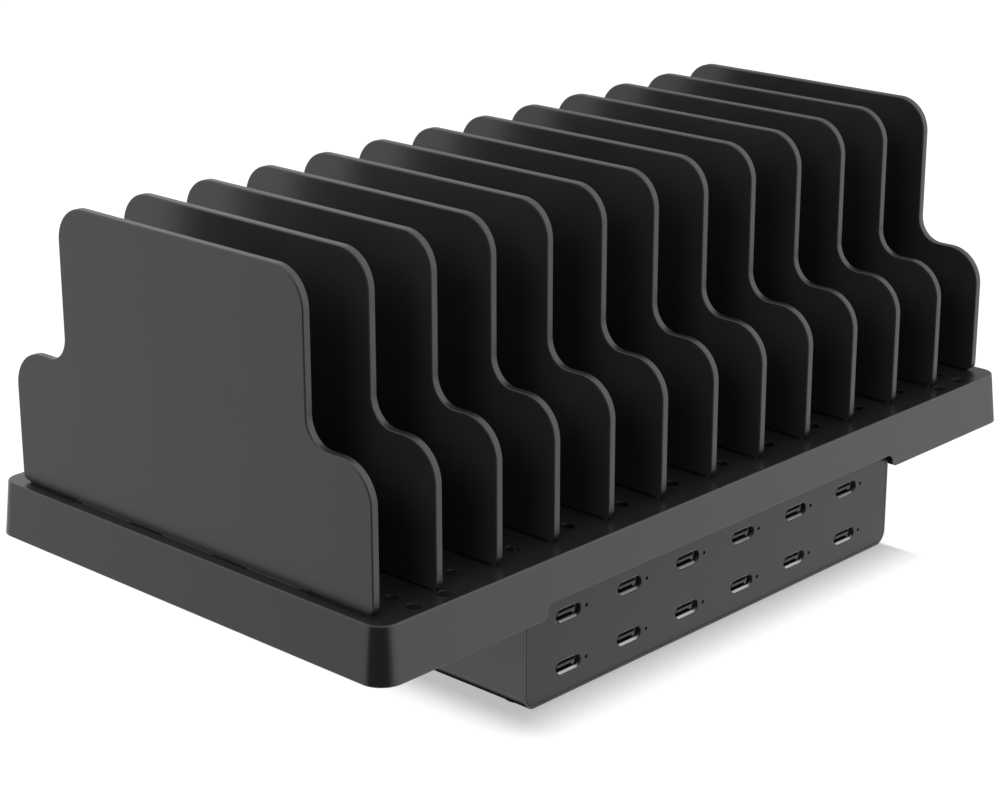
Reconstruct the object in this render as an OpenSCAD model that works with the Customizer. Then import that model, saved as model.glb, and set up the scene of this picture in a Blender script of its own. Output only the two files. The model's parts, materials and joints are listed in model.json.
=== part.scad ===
// Desktop device charging rack: a slotted deck with lift-out dividers over a charger housing.
// The origin is on the floor, under the middle of the deck. The sockets face -Y, and +X is to their right.

/* [Deck] */
// Distance between neighbouring dividers, centre to centre
slot_pitch = 21.5; // [20:0.5:25]
// Deck beyond the centre of each end divider
deck_end_margin = 4.6; // [4:0.1:12]
// Deck in front of the dividers and behind them
deck_side_margin = 6; // [5:0.5:14]
// Height of the deck's top above the charger housing
deck_rise = 13.2; // [12:0.1:20]
// Thickness of the deck's top plate
deck_plate = 2.6; // [2:0.1:3.6]
// Corner radius of the deck's top
deck_corner_r = 5; // [4:0.5:9]
// Height of the deck's skirt
skirt_h = 15.3; // [14:0.1:20]
// How far the skirt leans out at its lower edge
skirt_lean = 1.6; // [0.5:0.1:4]
// Wall thickness of the skirt
skirt_wall = 2.2; // [1.6:0.1:3]
// Length of the notch in the skirt over the socket panel
notch_len = 152; // [100:1:180]
// Height of the notch
notch_h = 3.8; // [3:0.1:6]
// Upper corner radius of the notch
notch_r = 2.2; // [1:0.1:2.8]
// Diameter of the small holes in the deck
tie_hole_d = 3.9; // [1.5:0.1:4.5]
// Distance of the slots' small holes behind the dividers' front
tie_hole_setback = 6; // [4:0.5:14]
// Depth of the guide rails under the plate
rail_h = 4.4; // [3:0.1:6]
// Thickness of one guide rail
rail_t = 1.6; // [1:0.1:2.4]
// Distance between the two rows of deck bosses, front to back
boss_spacing = 90; // [60:1:100]
// Diameter of a deck boss
boss_d = 7.6; // [6.4:0.1:10]

/* [Dividers] */
// Thickness of a divider
divider_t = 2.4; // [1.8:0.1:3.2]
// Depth of a divider at its foot, front to back
divider_depth = 137.8; // [130:0.2:180]
// Height of a divider above the deck
divider_h = 82.2; // [64:0.2:120]
// Height of the shoulders above the deck
shoulder_h = 38.5; // [26:0.1:44]
// Depth of the step at the shoulders
shoulder_w = 22.1; // [20:0.1:30]
// Radius of the divider's top corners
crown_r = 10; // [4:0.5:16]
// Radius of the shoulders' outer corners
shoulder_r = 10.7; // [4:0.1:12]
// Radius of the hollow curve over the shoulders
throat_r = 7.4; // [3:0.1:9]
// Radius of the foot's lower corners
heel_r = 2; // [0.5:0.1:4]
// Length of a tab that goes into the deck
tab_len = 20; // [12:1:22]
// Distance between the tabs, centre to centre
tab_spacing = 33; // [26:1:40]
// Gap around a tab in its slot, on each side
tab_fit = 0.2; // [0.1:0.05:0.4]
// Length of the raised stretch at each end of the foot
relief_len = 23; // [8:1:26]
// Height of the raised stretch
relief_h = 0.5; // [0.2:0.1:1.2]

/* [Charger housing] */
// Width of the housing
housing_w = 160.4; // [158:0.2:184]
// Height of the housing without its feet
housing_h = 28.5; // [28:0.1:40]
// Depth of the housing, front to back
housing_depth = 136; // [132:1:144]
// Distance of the housing's front behind the deck's front edge
housing_inset = 3.1; // [1:0.1:8]
// Radius of the housing's long edges
housing_corner_r = 4; // [3.5:0.1:6]
// Wall thickness of the housing and its bottom cover
housing_wall = 2; // [1.6:0.1:2.4]
// Thickness of the front and rear panels
panel_t = 2; // [1.6:0.1:2.6]
// Gap around the panels and the bottom cover
panel_fit = 0.15; // [0.1:0.05:0.3]
// Housing edge that shows around the front panel
panel_rim = 0.7; // [0.5:0.1:1.5]
// Height of the ribs that the panels seat against
seat_rib_h = 1.5; // [1:0.1:1.9]
// Thickness of those ribs
seat_rib_t = 1.6; // [1.2:0.1:2.2]
// Diameter of the posts that take the cover's screws
post_d = 6.4; // [5.6:0.1:7]
// Width of a snap hook on the front panel
hook_w = 5; // [3:0.5:6]

/* [Feet] */
// Diameter of a foot
foot_d = 10; // [7:0.5:12]
// Height of a foot under the housing
foot_h = 1.25; // [1:0.05:4]
// Distance of the front feet's centres behind the housing's front
foot_setback = 9.3; // [9:0.1:11.5]

/* [Sockets] */
// Distance between neighbouring sockets in a row
socket_pitch = 24.45; // [22:0.05:25]
// Distance between the two rows
socket_row_gap = 14.7; // [12:0.1:15]
// Height of the lower row above the housing's underside
socket_low_h = 7.95; // [6.5:0.05:8.4]
// Sideways place of the rows' middle
socket_shift = -2.05; // [-3:0.05:0]
// Width of an opening in the panel
opening_w = 9.92; // [9.6:0.02:11]
// Height of an opening in the panel
opening_h = 4.05; // [3.8:0.05:4.6]
// Width of a socket's metal shell
shell_w = 8.94; // [8.4:0.02:9.2]
// Height of a socket's metal shell
shell_h = 3.26; // [3:0.02:3.5]
// Wall thickness of the metal shell
shell_wall = 0.3; // [0.2:0.05:0.4]
// Length of the metal shell
shell_len = 9; // [6.5:0.1:10]
// Distance of the shell's mouth behind the panel's face
shell_setback = 0.1; // [0:0.1:2]
// Width of a socket's tongue
tongue_w = 6.7; // [6:0.1:7.2]
// Thickness of a socket's tongue
tongue_t = 0.7; // [0.5:0.1:1]
// Distance of an indicator beside its socket's middle
lamp_offset = 7.1; // [6.5:0.1:8]
// Diameter of an indicator hole
lamp_hole_d = 1.1; // [0.9:0.1:1.6]

/* [Rear] */
// Sideways place of the mains inlet
inlet_x = 48; // [44:0.5:50]
// Width of the inlet's body
inlet_w = 27; // [26:0.1:28]
// Height of the inlet's body
inlet_h = 19.8; // [19:0.1:20.2]
// Depth of the inlet's body behind the panel's face
inlet_depth = 20; // [18:0.5:22]
// Sideways place of the power switch
switch_x = 20; // [14:0.5:22]
// Width of the power switch's body
switch_w = 13.2; // [13:0.1:15]
// Height of the power switch's body
switch_h = 8.8; // [8.4:0.1:11]
// Angle between the rocker's two positions
rocker_swing = 20; // [10:1:24]
// Width of a vent slot
vent_w = 2.4; // [1.5:0.1:3]
// Height of a vent slot in the rear panel
vent_h = 13; // [8:0.5:14]
// Distance between neighbouring vent slots
vent_pitch = 5; // [4.5:0.1:5.6]
// Length of a vent slot in the bottom cover
cover_vent_len = 34; // [20:1:44]

/* [Boards] */
// Thickness of the circuit boards
board_t = 1.6; // [1:0.1:2]
// Width of the main board
main_board_w = 130; // [126:1:132]
// Depth of the main board
main_board_depth = 92; // [90:1:94]
// Height of the stand-offs under the main board
standoff_h = 4; // [3:0.1:5]
// Height of the socket board
socket_board_h = 21; // [18.5:0.1:21.5]
// Diameter of a bulk capacitor
capacitor_d = 15; // [12:0.5:16]
// Length of a bulk capacitor
capacitor_len = 30; // [20:1:34]
// Width of the transformer's core
core_w = 28; // [24:1:32]
// Height of the transformer's core
core_h = 16; // [13:0.5:17]
// Thickness of the transformer's core, front to back
core_t = 12; // [8:0.5:18]
// Outer diameter of the choke's core
choke_d = 18; // [14:0.5:20]
// Height of the choke's core
choke_h = 8; // [6:0.5:11]
// Length of a heat sink
sink_len = 40; // [30:1:46]
// Height of a heat sink
sink_h = 16; // [14.5:0.1:17]
// Length of the fuse
fuse_len = 20; // [15:0.5:22]
// Diameter of the fuse
fuse_d = 5.2; // [4:0.1:6.4]
// Diameter of a mains wire
wire_d = 2.2; // [1.6:0.1:2.6]

/* [Screws] */
// Shank diameter of the deck and case screws
screw_d = 2.9; // [2.5:0.1:3.5]
// Head diameter of the deck and case screws
screw_head_d = 5.4; // [4.8:0.1:5.8]
// Head height of a screw
screw_head_h = 1.6; // [1.2:0.1:1.9]
// Length of the deck and case screws under the head
screw_len = 9; // [7:0.5:10]
// Shank diameter of the board screws
board_screw_d = 2.2; // [1.8:0.1:2.5]
// Head diameter of the board screws
board_head_d = 4.2; // [3.4:0.1:4.6]
// Gap between a screw's shank and its pilot hole
pilot_fit = 0.05; // [0.02:0.01:0.1]
// Gap between a screw's shank and a clearance hole
clearance_fit = 0.25; // [0.15:0.05:0.4]

/* [Hidden] */
$fn = 48;

// Colours
charcoal = [0.27, 0.27, 0.28];
panel_grey = [0.23, 0.23, 0.24];
near_black = [0.08, 0.08, 0.09];
steel = [0.72, 0.72, 0.74];
brass = [0.78, 0.62, 0.32];
board_green = [0.07, 0.3, 0.17];

// Counts
slot_count = 12;
sockets_per_row = 6;
tab_count = 3;
vent_count = 13;
cover_vent_count = 9;
sink_fin_count = 7;

// A cut runs this far past the face that it opens
past = 1;

// Levels above the floor
z_floor = foot_h;
z_cover_top = z_floor + housing_wall;
z_top = z_floor + housing_h;
z_inside_top = z_top - housing_wall;
z_middle = z_floor + housing_h / 2;
deck_z = z_top + deck_rise;
z_plate_under = deck_z - deck_plate;

// Deck
deck_len = slot_count * slot_pitch + 2 * deck_end_margin;
deck_depth = divider_depth + 2 * deck_side_margin;
lean_per_mm = skirt_lean / skirt_h;
slot_w = divider_t + 2 * tab_fit;
slot_len = tab_len + 2 * tab_fit;
tab_h = deck_plate + rail_h;
rail_len = divider_depth - 4;
groove_len = divider_depth - 8;
boss_x = 2.5 * slot_pitch;
cross_rib_h = rail_h + 2;
end_slot = slot_count / 2 - 0.5;
end_hole_setback = -1.8;
relief_web_t = 0.9;
locator_fit = 0.3;
locator_t = 1.6;
locator_len = 8;
locator_overlap = 3.1;

// Housing
y_front = housing_inset - deck_depth / 2;
y_rear = y_front + housing_depth;
y_housing = (y_front + y_rear) / 2;
locator_x = housing_w / 2 + locator_fit + locator_t / 2;
locator_y0 = -deck_depth / 2;
inner_w = housing_w - 2 * housing_wall;
inner_h = housing_h - 2 * housing_wall;
inner_r = housing_corner_r - housing_wall;
recess_w = housing_w - 2 * panel_rim;
recess_h = housing_h - 2 * panel_rim;
recess_r = housing_corner_r - panel_rim;
y_panel_back = y_front + panel_t;
y_rear_panel_front = y_rear - panel_t;
band_past_rib = 0.4;
band = panel_t + seat_rib_t + band_past_rib;
flat_w = housing_w - 2 * housing_corner_r;
cover_w = flat_w - 2 * panel_fit;
cover_y0 = y_front + band + panel_fit;
cover_y1 = y_rear - band - panel_fit;
post_margin = 1.3;
post_inset = 20;
post_x = cover_w / 2 - post_d / 2 - post_margin;
post_y = [y_front + post_inset, y_housing, y_rear - post_inset];
case_boss_margin = 0.4;
case_boss_x = inner_w / 2 - post_d / 2 - case_boss_margin;
case_boss_rise = 8;
case_screw_len = screw_len - 1;
case_pilot_len = case_screw_len - panel_t + 1.5;
case_boss_len = case_pilot_len + 1.5;
web_t = 2;

// Feet
foot_margin = 0.2;
foot_x = cover_w / 2 - foot_d / 2 - foot_margin;
foot_y = [y_front + foot_setback, y_rear - foot_setback];
foot_peg_d = foot_d / 2;
foot_peg_h = 0.9;

// Sockets
y_mouth = y_front + shell_setback;
y_socket_board = y_mouth + shell_len;
z_sockets = z_floor + socket_low_h + socket_row_gap / 2;
socket_board_margin = 3.2;
socket_board_w = inner_w - 2 * socket_board_margin;
panel_boss_d = 5;
panel_boss_margin = 0.5;
panel_boss_x = socket_board_w / 2 - panel_boss_d / 2 - panel_boss_margin;
panel_boss_rise = 6.5;
panel_boss_root = 0.5;
panel_screw_len = board_t + 4;
tongue_base_len = 1.5;
tongue_setback = 0.8;
mouth_fit = 0.05;
mouth_len = 0.6;
inner_shell_w = shell_w - 2 * shell_wall;
inner_shell_h = shell_h - 2 * shell_wall;
lamp_len = 1.6;
lamp_t = 0.8;
pipe_nib_setback = 0.5;
pipe_nib_d = lamp_hole_d - 2 * pilot_fit;
pipe_stem_d = lamp_hole_d + 0.4;
pipe_collar_d = pipe_stem_d + 0.7;
pipe_collar_t = 0.8;
hook_t = 1.1;
hook_gap = 0.2;
hook_barb = 0.7;
hook_barb_t = 1.2;
hook_root = 0.5;
hook_reach = seat_rib_t + hook_gap + hook_barb_t;

// Rear
inlet_flange = 1.5;
inlet_flange_t = 2;
inlet_flange_r = 1.2;
inlet_wall = 1.3;
inlet_floor = 3.5;
inlet_corner_cut = 4.5;
pin_w = 4;
pin_t = 2;
pin_len = 14;
pin_gap = 7;
pin_tail = 4;
switch_bezel = 0.9;
switch_bezel_t = 1.5;
switch_bezel_r = 0.8;
switch_depth = 11;
switch_floor = 1.5;
switch_wall = 0.9;
rocker_end_gap = 0.6;
rocker_side_gap = 0.2;
rocker_w = switch_w - 2 * switch_wall - 2 * rocker_end_gap;
rocker_t = switch_h - 2 * switch_wall - 2 * rocker_side_gap;
rocker_crown = 2.6;
rocker_valley = 1.6;
rocker_waist = 1.5;
rocker_draft = 0.6;
rocker_root = 4;
rocker_root_w = 2.8;
rocker_pin_d = 1.6;
rocker_pin_in = 0.5;
rocker_pin_len = rocker_t + 2 * rocker_side_gap + 2 * rocker_pin_in;
rocker_bore_d = rocker_pin_d + 0.1;
rocker_bore_len = rocker_pin_len + 0.2;
vent_middle = -36;
vent_end = (vent_count - 1) / 2;
cover_vent_x = 32;
cover_vent_y = y_housing + 4;
cover_vent_end = (cover_vent_count - 1) / 2;

// Boards
z_board = z_cover_top + standoff_h;
z_board_top = z_board + board_t;
board_gap = 5.6;
main_board_y0 = y_socket_board + board_t + board_gap;
main_board_y1 = main_board_y0 + main_board_depth;
main_board_y = (main_board_y0 + main_board_y1) / 2;
standoff_d = 5.4;
standoff_inset = 4;
standoff_floor = 0.6;
standoff_x = main_board_w / 2 - standoff_inset;
standoff_y = main_board_depth / 2 - standoff_inset;
standoff_screw_len = board_t + standoff_h - 1;
part_fit = 0.2;
capacitor_inset = 9;
capacitor_front_gap = 18.5;
capacitor_gap = 2;
capacitor_x = capacitor_inset + capacitor_len / 2 - main_board_w / 2;
capacitor_y0 = main_board_y0 + capacitor_front_gap + capacitor_d / 2;
capacitor_y = [capacitor_y0, capacitor_y0 + capacitor_d + capacitor_gap];
capacitor_groove = 0.7;
capacitor_groove_at = 3;
capacitor_rim = 1.2;
capacitor_dish = 0.4;
core_gap = 8;
core_front_gap = 24;
core_x = capacitor_x + capacitor_len / 2 + core_gap + core_w / 2;
core_y = main_board_y0 + core_front_gap + core_t / 2;
core_leg = 3.5;
winding_out = 3.5;
choke_gap = 5;
choke_rear_gap = 11;
choke_x = core_x + core_w / 2 + choke_gap + choke_d / 2;
choke_y = main_board_y1 - choke_rear_gap - choke_d / 2;
choke_hole = choke_d * 0.5;
winding_t = 1.4;
sink_t = 2.5;
sink_fin_len = 5;
sink_fin_t = 1.2;
sink_gap = 5.75;
sink_side_inset = 14;
sink_front_gap = 4;
sink_left_x = core_x + core_w / 2 + sink_gap + sink_fin_len + sink_t / 2;
sink_right_x = main_board_w / 2 - sink_side_inset;
sink_y = main_board_y0 + sink_front_gap + sink_len / 2;
transistor_w = 10;
transistor_t = 4.4;
transistor_h = 14;
transistor_gap = 16;
fuse_side_inset = 13;
fuse_rear_gap = 8;
fuse_x = main_board_w / 2 - fuse_side_inset;
fuse_y = main_board_y1 - fuse_rear_gap - fuse_len / 2;
fuse_cap_len = 5;
fuse_cap_t = 0.5;
fuse_lift = 2.5 + fuse_cap_t;
z_fuse = z_board_top + fuse_lift + fuse_d / 2;
connector_w = 26;
connector_h = 7;
main_connector_t = 6;
socket_connector_t = 3;
ribbon_w = 22;
ribbon_t = 0.9;
ribbon_z = z_board_top + connector_h / 2;
screw_hole_d = screw_d + 2 * clearance_fit;
drive_w = 0.9;
drive_depth = 0.9;
drive_len = 0.6;
lead_inset = 5;
inlet_solder_x = [-11, 5, -3];
switch_lead_x = 3;

// Helpers

function divider_x(i) = (i - slot_count / 2) * slot_pitch;
function slot_x(i) = (i - (slot_count - 1) / 2) * slot_pitch;
function socket_x(i) = socket_shift + (i - (sockets_per_row - 1) / 2) * socket_pitch;
function socket_z(row) = z_floor + socket_low_h + row * socket_row_gap;

// A flat rectangle with round corners, centred
module rounded_plate_2d(w, h, r) {
    square([w - 2 * r, h], center = true);
    square([w, h - 2 * r], center = true);
    for (x = [-1, 1], y = [-1, 1])
        translate([x * (w / 2 - r), y * (h / 2 - r)])
            circle(r);
}

// A flat oval with half-round ends, centred
module oval_2d(w, h) {
    square([w - h, h], center = true);
    for (x = [-1, 1])
        translate([x * (w - h) / 2, 0])
            circle(h / 2);
}

// Puts a flat shape, drawn in X and Z, at depth y with thickness t towards +Y
module along_y(y, t) {
    translate([0, y + t, 0])
        rotate([90, 0, 0])
            linear_extrude(t)
                children();
}

// Puts a flat shape, drawn in Y and Z, in the middle of X with thickness t
module across_x(t) {
    translate([-t / 2, 0, 0])
        rotate([90, 0, 90])
            linear_extrude(t)
                children();
}

// A rod along Y from y0 to y1
module rod_y(x, z, d, y0, y1) {
    translate([x, y1, z])
        rotate([90, 0, 0])
            cylinder(h = y1 - y0, d = d);
}

// A block with round corners that leans out downwards from its top face at z = 0
module leaning_block(len, depth, r, h) {
    lean = lean_per_mm * h;
    across_x(len - 2 * r)
        polygon([[-depth / 2 - lean, -h], [depth / 2 + lean, -h], [depth / 2, 0], [-depth / 2, 0]]);
    along_y(r - depth / 2, depth - 2 * r)
        polygon([[-len / 2 - lean, -h], [len / 2 + lean, -h], [len / 2, 0], [-len / 2, 0]]);
    for (x = [-1, 1], y = [-1, 1])
        translate([x * (len / 2 - r), y * (depth / 2 - r), -h])
            cylinder(h = h, r1 = r + lean, r2 = r);
}

// A screw with a round head under z = 0 and its shank above it, and a cross recess in the head
module screw(d, head_d, head_h, len) {
    difference() {
        union() {
            translate([0, 0, -head_h])
                cylinder(h = head_h, d = head_d);
            cylinder(h = len, d = d);
        }
        for (a = [0, 90])
            rotate(a)
                translate([-head_d * drive_len / 2, -drive_w / 2, -head_h - past])
                    cube([head_d * drive_len, drive_w, drive_depth + past]);
    }
}

// A countersunk screw whose flat head ends at z = 0, with its shank above
module flat_screw(d, head_d, head_h, len) {
    difference() {
        union() {
            cylinder(h = head_h, d1 = head_d, d2 = d);
            cylinder(h = len, d = d);
        }
        for (a = [0, 90])
            rotate(a)
                translate([-head_d * drive_len / 2, -drive_w / 2, -past])
                    cube([head_d * drive_len, drive_w, drive_depth + past]);
    }
}

// A round tube with n flat sides through a list of points that never run along X
function unit(v) = v / norm(v);
function heading(p, i) = unit(p[min(i + 1, len(p) - 1)] - p[max(i - 1, 0)]);
function ring(p, i, r, n) =
    let (t = heading(p, i), u = unit(cross(t, [1, 0, 0])), v = cross(t, u))
    [for (k = [0:n - 1]) p[i] + r * (cos(k * 360 / n) * u + sin(k * 360 / n) * v)];
module tube(p, d, n = 8) {
    last = len(p) - 1;
    rings = [for (i = [0:last]) each ring(p, i, d / 2, n)];
    sides = [for (i = [0:last - 1], k = [0:n - 1])
        let (a = i * n + k, b = i * n + (k + 1) % n)
        each [[a, b + n, b], [a, a + n, b + n]]];
    polyhedron(rings, concat([[for (k = [0:n - 1]) k]], sides, [[for (k = [n - 1:-1:0]) last * n + k]]));
}

// A smooth path of four control points
function bend(a, b, c, d, steps = 5) =
    [for (i = [0:steps]) let (s = i / steps, q = 1 - s)
        q * q * q * a + 3 * q * q * s * b + 3 * q * s * s * c + s * s * s * d];

// A lead that leaves a along da and reaches b against db, straight at both ends
function lead(a, da, b, db) = concat([a], bend(a + da, a + 2 * da, b + 2 * db, b + db), [b]);

// Deck

// The notch in the skirt's front, drawn from its lower edge up
module notch_2d() {
    half = notch_len / 2;
    foot_r = notch_h - notch_r;
    translate([-half + notch_r, -past])
        square([notch_len - 2 * notch_r, notch_h + past]);
    translate([-half, -past])
        square([notch_len, notch_h - notch_r + past]);
    for (x = [-1, 1]) {
        translate([x * (half - notch_r), notch_h - notch_r])
            circle(notch_r);
        difference() {
            translate([x * (half + foot_r / 2), foot_r / 2 - past / 2])
                square([foot_r, foot_r + past], center = true);
            translate([x * (half + foot_r), foot_r])
                circle(foot_r);
        }
    }
}

module deck() {
    inner_top = deck_plate * lean_per_mm - skirt_wall;
    color(charcoal)
    difference() {
        union() {
            translate([0, 0, deck_z])
                difference() {
                    leaning_block(deck_len, deck_depth, deck_corner_r, skirt_h);
                    translate([0, 0, -deck_plate])
                        leaning_block(deck_len + 2 * inner_top, deck_depth + 2 * inner_top,
                            deck_corner_r + inner_top, skirt_h);
                }
            for (i = [0:slot_count])
                translate([divider_x(i), 0, z_plate_under - rail_h / 2])
                    cube([slot_w + 2 * rail_t, rail_len, rail_h], center = true);
            for (y = [-1, 1])
                translate([0, y_housing + y * boss_spacing / 2, z_plate_under - cross_rib_h / 2])
                    cube([deck_len - 2 * skirt_wall, rail_t, cross_rib_h], center = true);
            for (x = [-1, 1], y = [-1, 1])
                translate([x * boss_x, y_housing + y * boss_spacing / 2, z_top])
                    cylinder(h = z_plate_under - z_top, d = boss_d);
            for (x = [-1, 1])
                translate([x * locator_x - locator_t / 2, locator_y0, z_top - locator_overlap])
                    cube([locator_t, locator_len, z_plate_under + deck_plate / 2 - z_top + locator_overlap]);
        }
        for (i = [0:slot_count]) {
            translate([divider_x(i), 0, z_plate_under - cross_rib_h / 2 - past / 2])
                cube([slot_w, groove_len, cross_rib_h + past], center = true);
            for (k = [0:tab_count - 1])
                translate([divider_x(i), (k - (tab_count - 1) / 2) * tab_spacing, deck_z - deck_plate / 2])
                    cube([slot_w, slot_len, deck_plate + 2 * past], center = true);
        }
        for (x = [-1, 1], y = [-1, 1])
            translate([x * boss_x, y_housing + y * boss_spacing / 2, z_top - past])
                cylinder(h = screw_len + past, d = screw_d + 2 * pilot_fit);
        for (i = [0:slot_count - 1])
            translate([slot_x(i), tie_hole_setback - divider_depth / 2, z_plate_under - past])
                cylinder(h = deck_plate + 2 * past, d = tie_hole_d);
        for (x = [-1, 1], s = [end_slot, end_slot - 0.5])
            translate([x * s * slot_pitch, end_hole_setback - divider_depth / 2, z_plate_under - past])
                cylinder(h = deck_plate + 2 * past, d = tie_hole_d);
        translate([0, 0, deck_z - skirt_h])
            along_y(-deck_depth / 2 - skirt_lean - past, skirt_lean + skirt_wall + 2 * past)
                notch_2d();
    }
}

// Dividers

// The stepped outline of a divider, from the deck's top up, without its tabs
module divider_2d() {
    half = divider_depth / 2;
    crown_half = half - shoulder_w;
    difference() {
        union() {
            translate([-half, 0])
                square([divider_depth, shoulder_h - shoulder_r]);
            translate([-half + shoulder_r, 0])
                square([divider_depth - 2 * shoulder_r, shoulder_h]);
            translate([-crown_half, 0])
                square([2 * crown_half, divider_h - crown_r]);
            translate([-crown_half + crown_r, 0])
                square([2 * (crown_half - crown_r), divider_h]);
            for (y = [-1, 1]) {
                translate([y * (half - shoulder_r), shoulder_h - shoulder_r])
                    circle(shoulder_r);
                translate([y * (crown_half - crown_r), divider_h - crown_r])
                    circle(crown_r);
                difference() {
                    translate([y * (crown_half + (throat_r - past) / 2), shoulder_h + (throat_r - past) / 2])
                        square(throat_r + past, center = true);
                    translate([y * (crown_half + throat_r), shoulder_h + throat_r])
                        circle(throat_r);
                }
            }
        }
        for (y = [-1, 1]) {
            translate([y * (half - relief_len / 2 + past / 2), relief_h / 2 - past / 2])
                square([relief_len + past, relief_h + past], center = true);
            difference() {
                translate([y * (half - heel_r / 2 + past / 2), relief_h + heel_r / 2 - past / 2])
                    square(heel_r + past, center = true);
                translate([y * (half - heel_r), relief_h + heel_r])
                    circle(heel_r);
            }
        }
    }
}

module divider(i) {
    color(charcoal)
    translate([divider_x(i), 0, deck_z])
        union() {
            across_x(divider_t)
                divider_2d();
            across_x(relief_web_t)
                translate([heel_r - divider_depth / 2, 0])
                    square([divider_depth - 2 * heel_r, relief_h + heel_r]);
            for (k = [0:tab_count - 1])
                translate([0, (k - (tab_count - 1) / 2) * tab_spacing, -tab_h / 2])
                    cube([divider_t, tab_len, tab_h], center = true);
        }
}

// Charger housing

// The ring that a panel seats against, from y towards +Y
module seat_ring(y) {
    translate([0, 0, z_middle])
        along_y(y, seat_rib_t)
            difference() {
                rounded_plate_2d(inner_w + housing_wall, inner_h + housing_wall, inner_r + housing_wall / 2);
                square([inner_w - 2 * seat_rib_h, inner_h - 2 * seat_rib_h], center = true);
            }
}

module housing_shell() {
    color(charcoal)
    difference() {
        union() {
            translate([0, 0, z_middle])
                along_y(y_front, housing_depth)
                    difference() {
                        rounded_plate_2d(housing_w, housing_h, housing_corner_r);
                        rounded_plate_2d(inner_w, inner_h, inner_r);
                    }
            seat_ring(y_panel_back);
            seat_ring(y_rear_panel_front - seat_rib_t);
            for (x = [-1, 1], y = post_y) {
                translate([x * post_x, y, z_cover_top])
                    cylinder(h = z_inside_top + housing_wall / 2 - z_cover_top, d = post_d);
                translate([x * (post_x + inner_w / 2 + housing_wall / 2) / 2, y, z_middle])
                    cube([inner_w / 2 + housing_wall / 2 - post_x, web_t, inner_h / 2], center = true);
            }
            for (x = [-1, 1], z = [-1, 1]) {
                rod_y(x * case_boss_x, z_middle + z * case_boss_rise, post_d,
                    y_rear_panel_front - case_boss_len, y_rear_panel_front);
                translate([x * (case_boss_x + inner_w / 2 + housing_wall / 2) / 2,
                        y_rear_panel_front - case_boss_len / 2, z_middle + z * case_boss_rise])
                    cube([inner_w / 2 + housing_wall / 2 - case_boss_x, case_boss_len, web_t], center = true);
            }
        }
        translate([0, 0, z_middle])
            along_y(y_front - past, panel_t + past)
                rounded_plate_2d(recess_w, recess_h, recess_r);
        translate([-flat_w / 2, y_front + band, z_floor - past])
            cube([flat_w, housing_depth - 2 * band, housing_wall + past]);
        for (x = [-1, 1], y = [-1, 1])
            translate([x * boss_x, y_housing + y * boss_spacing / 2, z_inside_top - past])
                cylinder(h = housing_wall + 2 * past, d = screw_hole_d);
        for (x = [-1, 1], y = post_y)
            translate([x * post_x, y, z_cover_top - past])
                cylinder(h = screw_len, d = screw_d + 2 * pilot_fit);
        for (x = [-1, 1], z = [-1, 1])
            rod_y(x * case_boss_x, z_middle + z * case_boss_rise, screw_d + 2 * pilot_fit,
                y_rear_panel_front - case_pilot_len, y_rear_panel_front + past);
    }
}

module bottom_cover() {
    color(charcoal)
    difference() {
        translate([-cover_w / 2, cover_y0, z_floor])
            cube([cover_w, cover_y1 - cover_y0, housing_wall]);
        for (x = [-1, 1], y = post_y)
            translate([x * post_x, y, z_floor]) {
                translate([0, 0, -past])
                    cylinder(h = housing_wall + 2 * past, d = screw_hole_d);
                cylinder(h = screw_head_h, d1 = screw_head_d + 2 * clearance_fit, d2 = screw_hole_d);
            }
        for (x = [-1, 1], y = foot_y)
            translate([x * foot_x, y, z_floor - past])
                cylinder(h = foot_peg_h + past, d = foot_peg_d);
        for (i = [0:cover_vent_count - 1], x = [-1, 1])
            translate([x * cover_vent_x + (i - cover_vent_end) * vent_pitch, cover_vent_y, z_floor - past])
                linear_extrude(housing_wall + 2 * past)
                    rotate(90)
                        oval_2d(cover_vent_len, vent_w);
    }
}

module foot(x, y) {
    color(near_black)
    translate([x * foot_x, y, 0])
        union() {
            cylinder(h = foot_h, d = foot_d);
            cylinder(h = foot_h + foot_peg_h, d = foot_peg_d);
        }
}

// A snap hook on the front panel: side is 1 at the top and -1 at the bottom
module snap_hook(x, side) {
    reach = inner_h / 2 - seat_rib_h - hook_gap;
    translate([x - hook_w / 2, 0, z_middle]) {
        translate([0, y_panel_back - hook_root, side > 0 ? reach - hook_t : -reach])
            cube([hook_w, hook_reach + hook_root, hook_t]);
        translate([0, y_panel_back + seat_rib_t + hook_gap, side > 0 ? reach - hook_t : -reach - hook_barb])
            cube([hook_w, hook_barb_t, hook_t + hook_barb]);
    }
}

module front_panel() {
    color(panel_grey)
    difference() {
        union() {
            translate([0, 0, z_middle])
                along_y(y_front, panel_t)
                    rounded_plate_2d(recess_w - 2 * panel_fit, recess_h - 2 * panel_fit, recess_r - panel_fit);
            for (x = [-1, 1], z = [-1, 1])
                rod_y(x * panel_boss_x, z_sockets + z * panel_boss_rise, panel_boss_d,
                    y_panel_back - panel_boss_root, y_socket_board);
            for (i = [0:2:sockets_per_row - 2], side = [-1, 1])
                snap_hook(socket_x(i) + socket_pitch / 2, side);
        }
        for (i = [0:sockets_per_row - 1], row = [0, 1]) {
            translate([socket_x(i), 0, socket_z(row)])
                along_y(y_front - past, panel_t + 2 * past)
                    oval_2d(opening_w, opening_h);
            rod_y(socket_x(i) + lamp_offset, socket_z(row), lamp_hole_d, y_front - past, y_panel_back + past);
        }
        for (x = [-1, 1], z = [-1, 1])
            rod_y(x * panel_boss_x, z_sockets + z * panel_boss_rise, board_screw_d + 2 * pilot_fit,
                y_panel_back + panel_boss_root, y_socket_board + past);
    }
}

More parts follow.
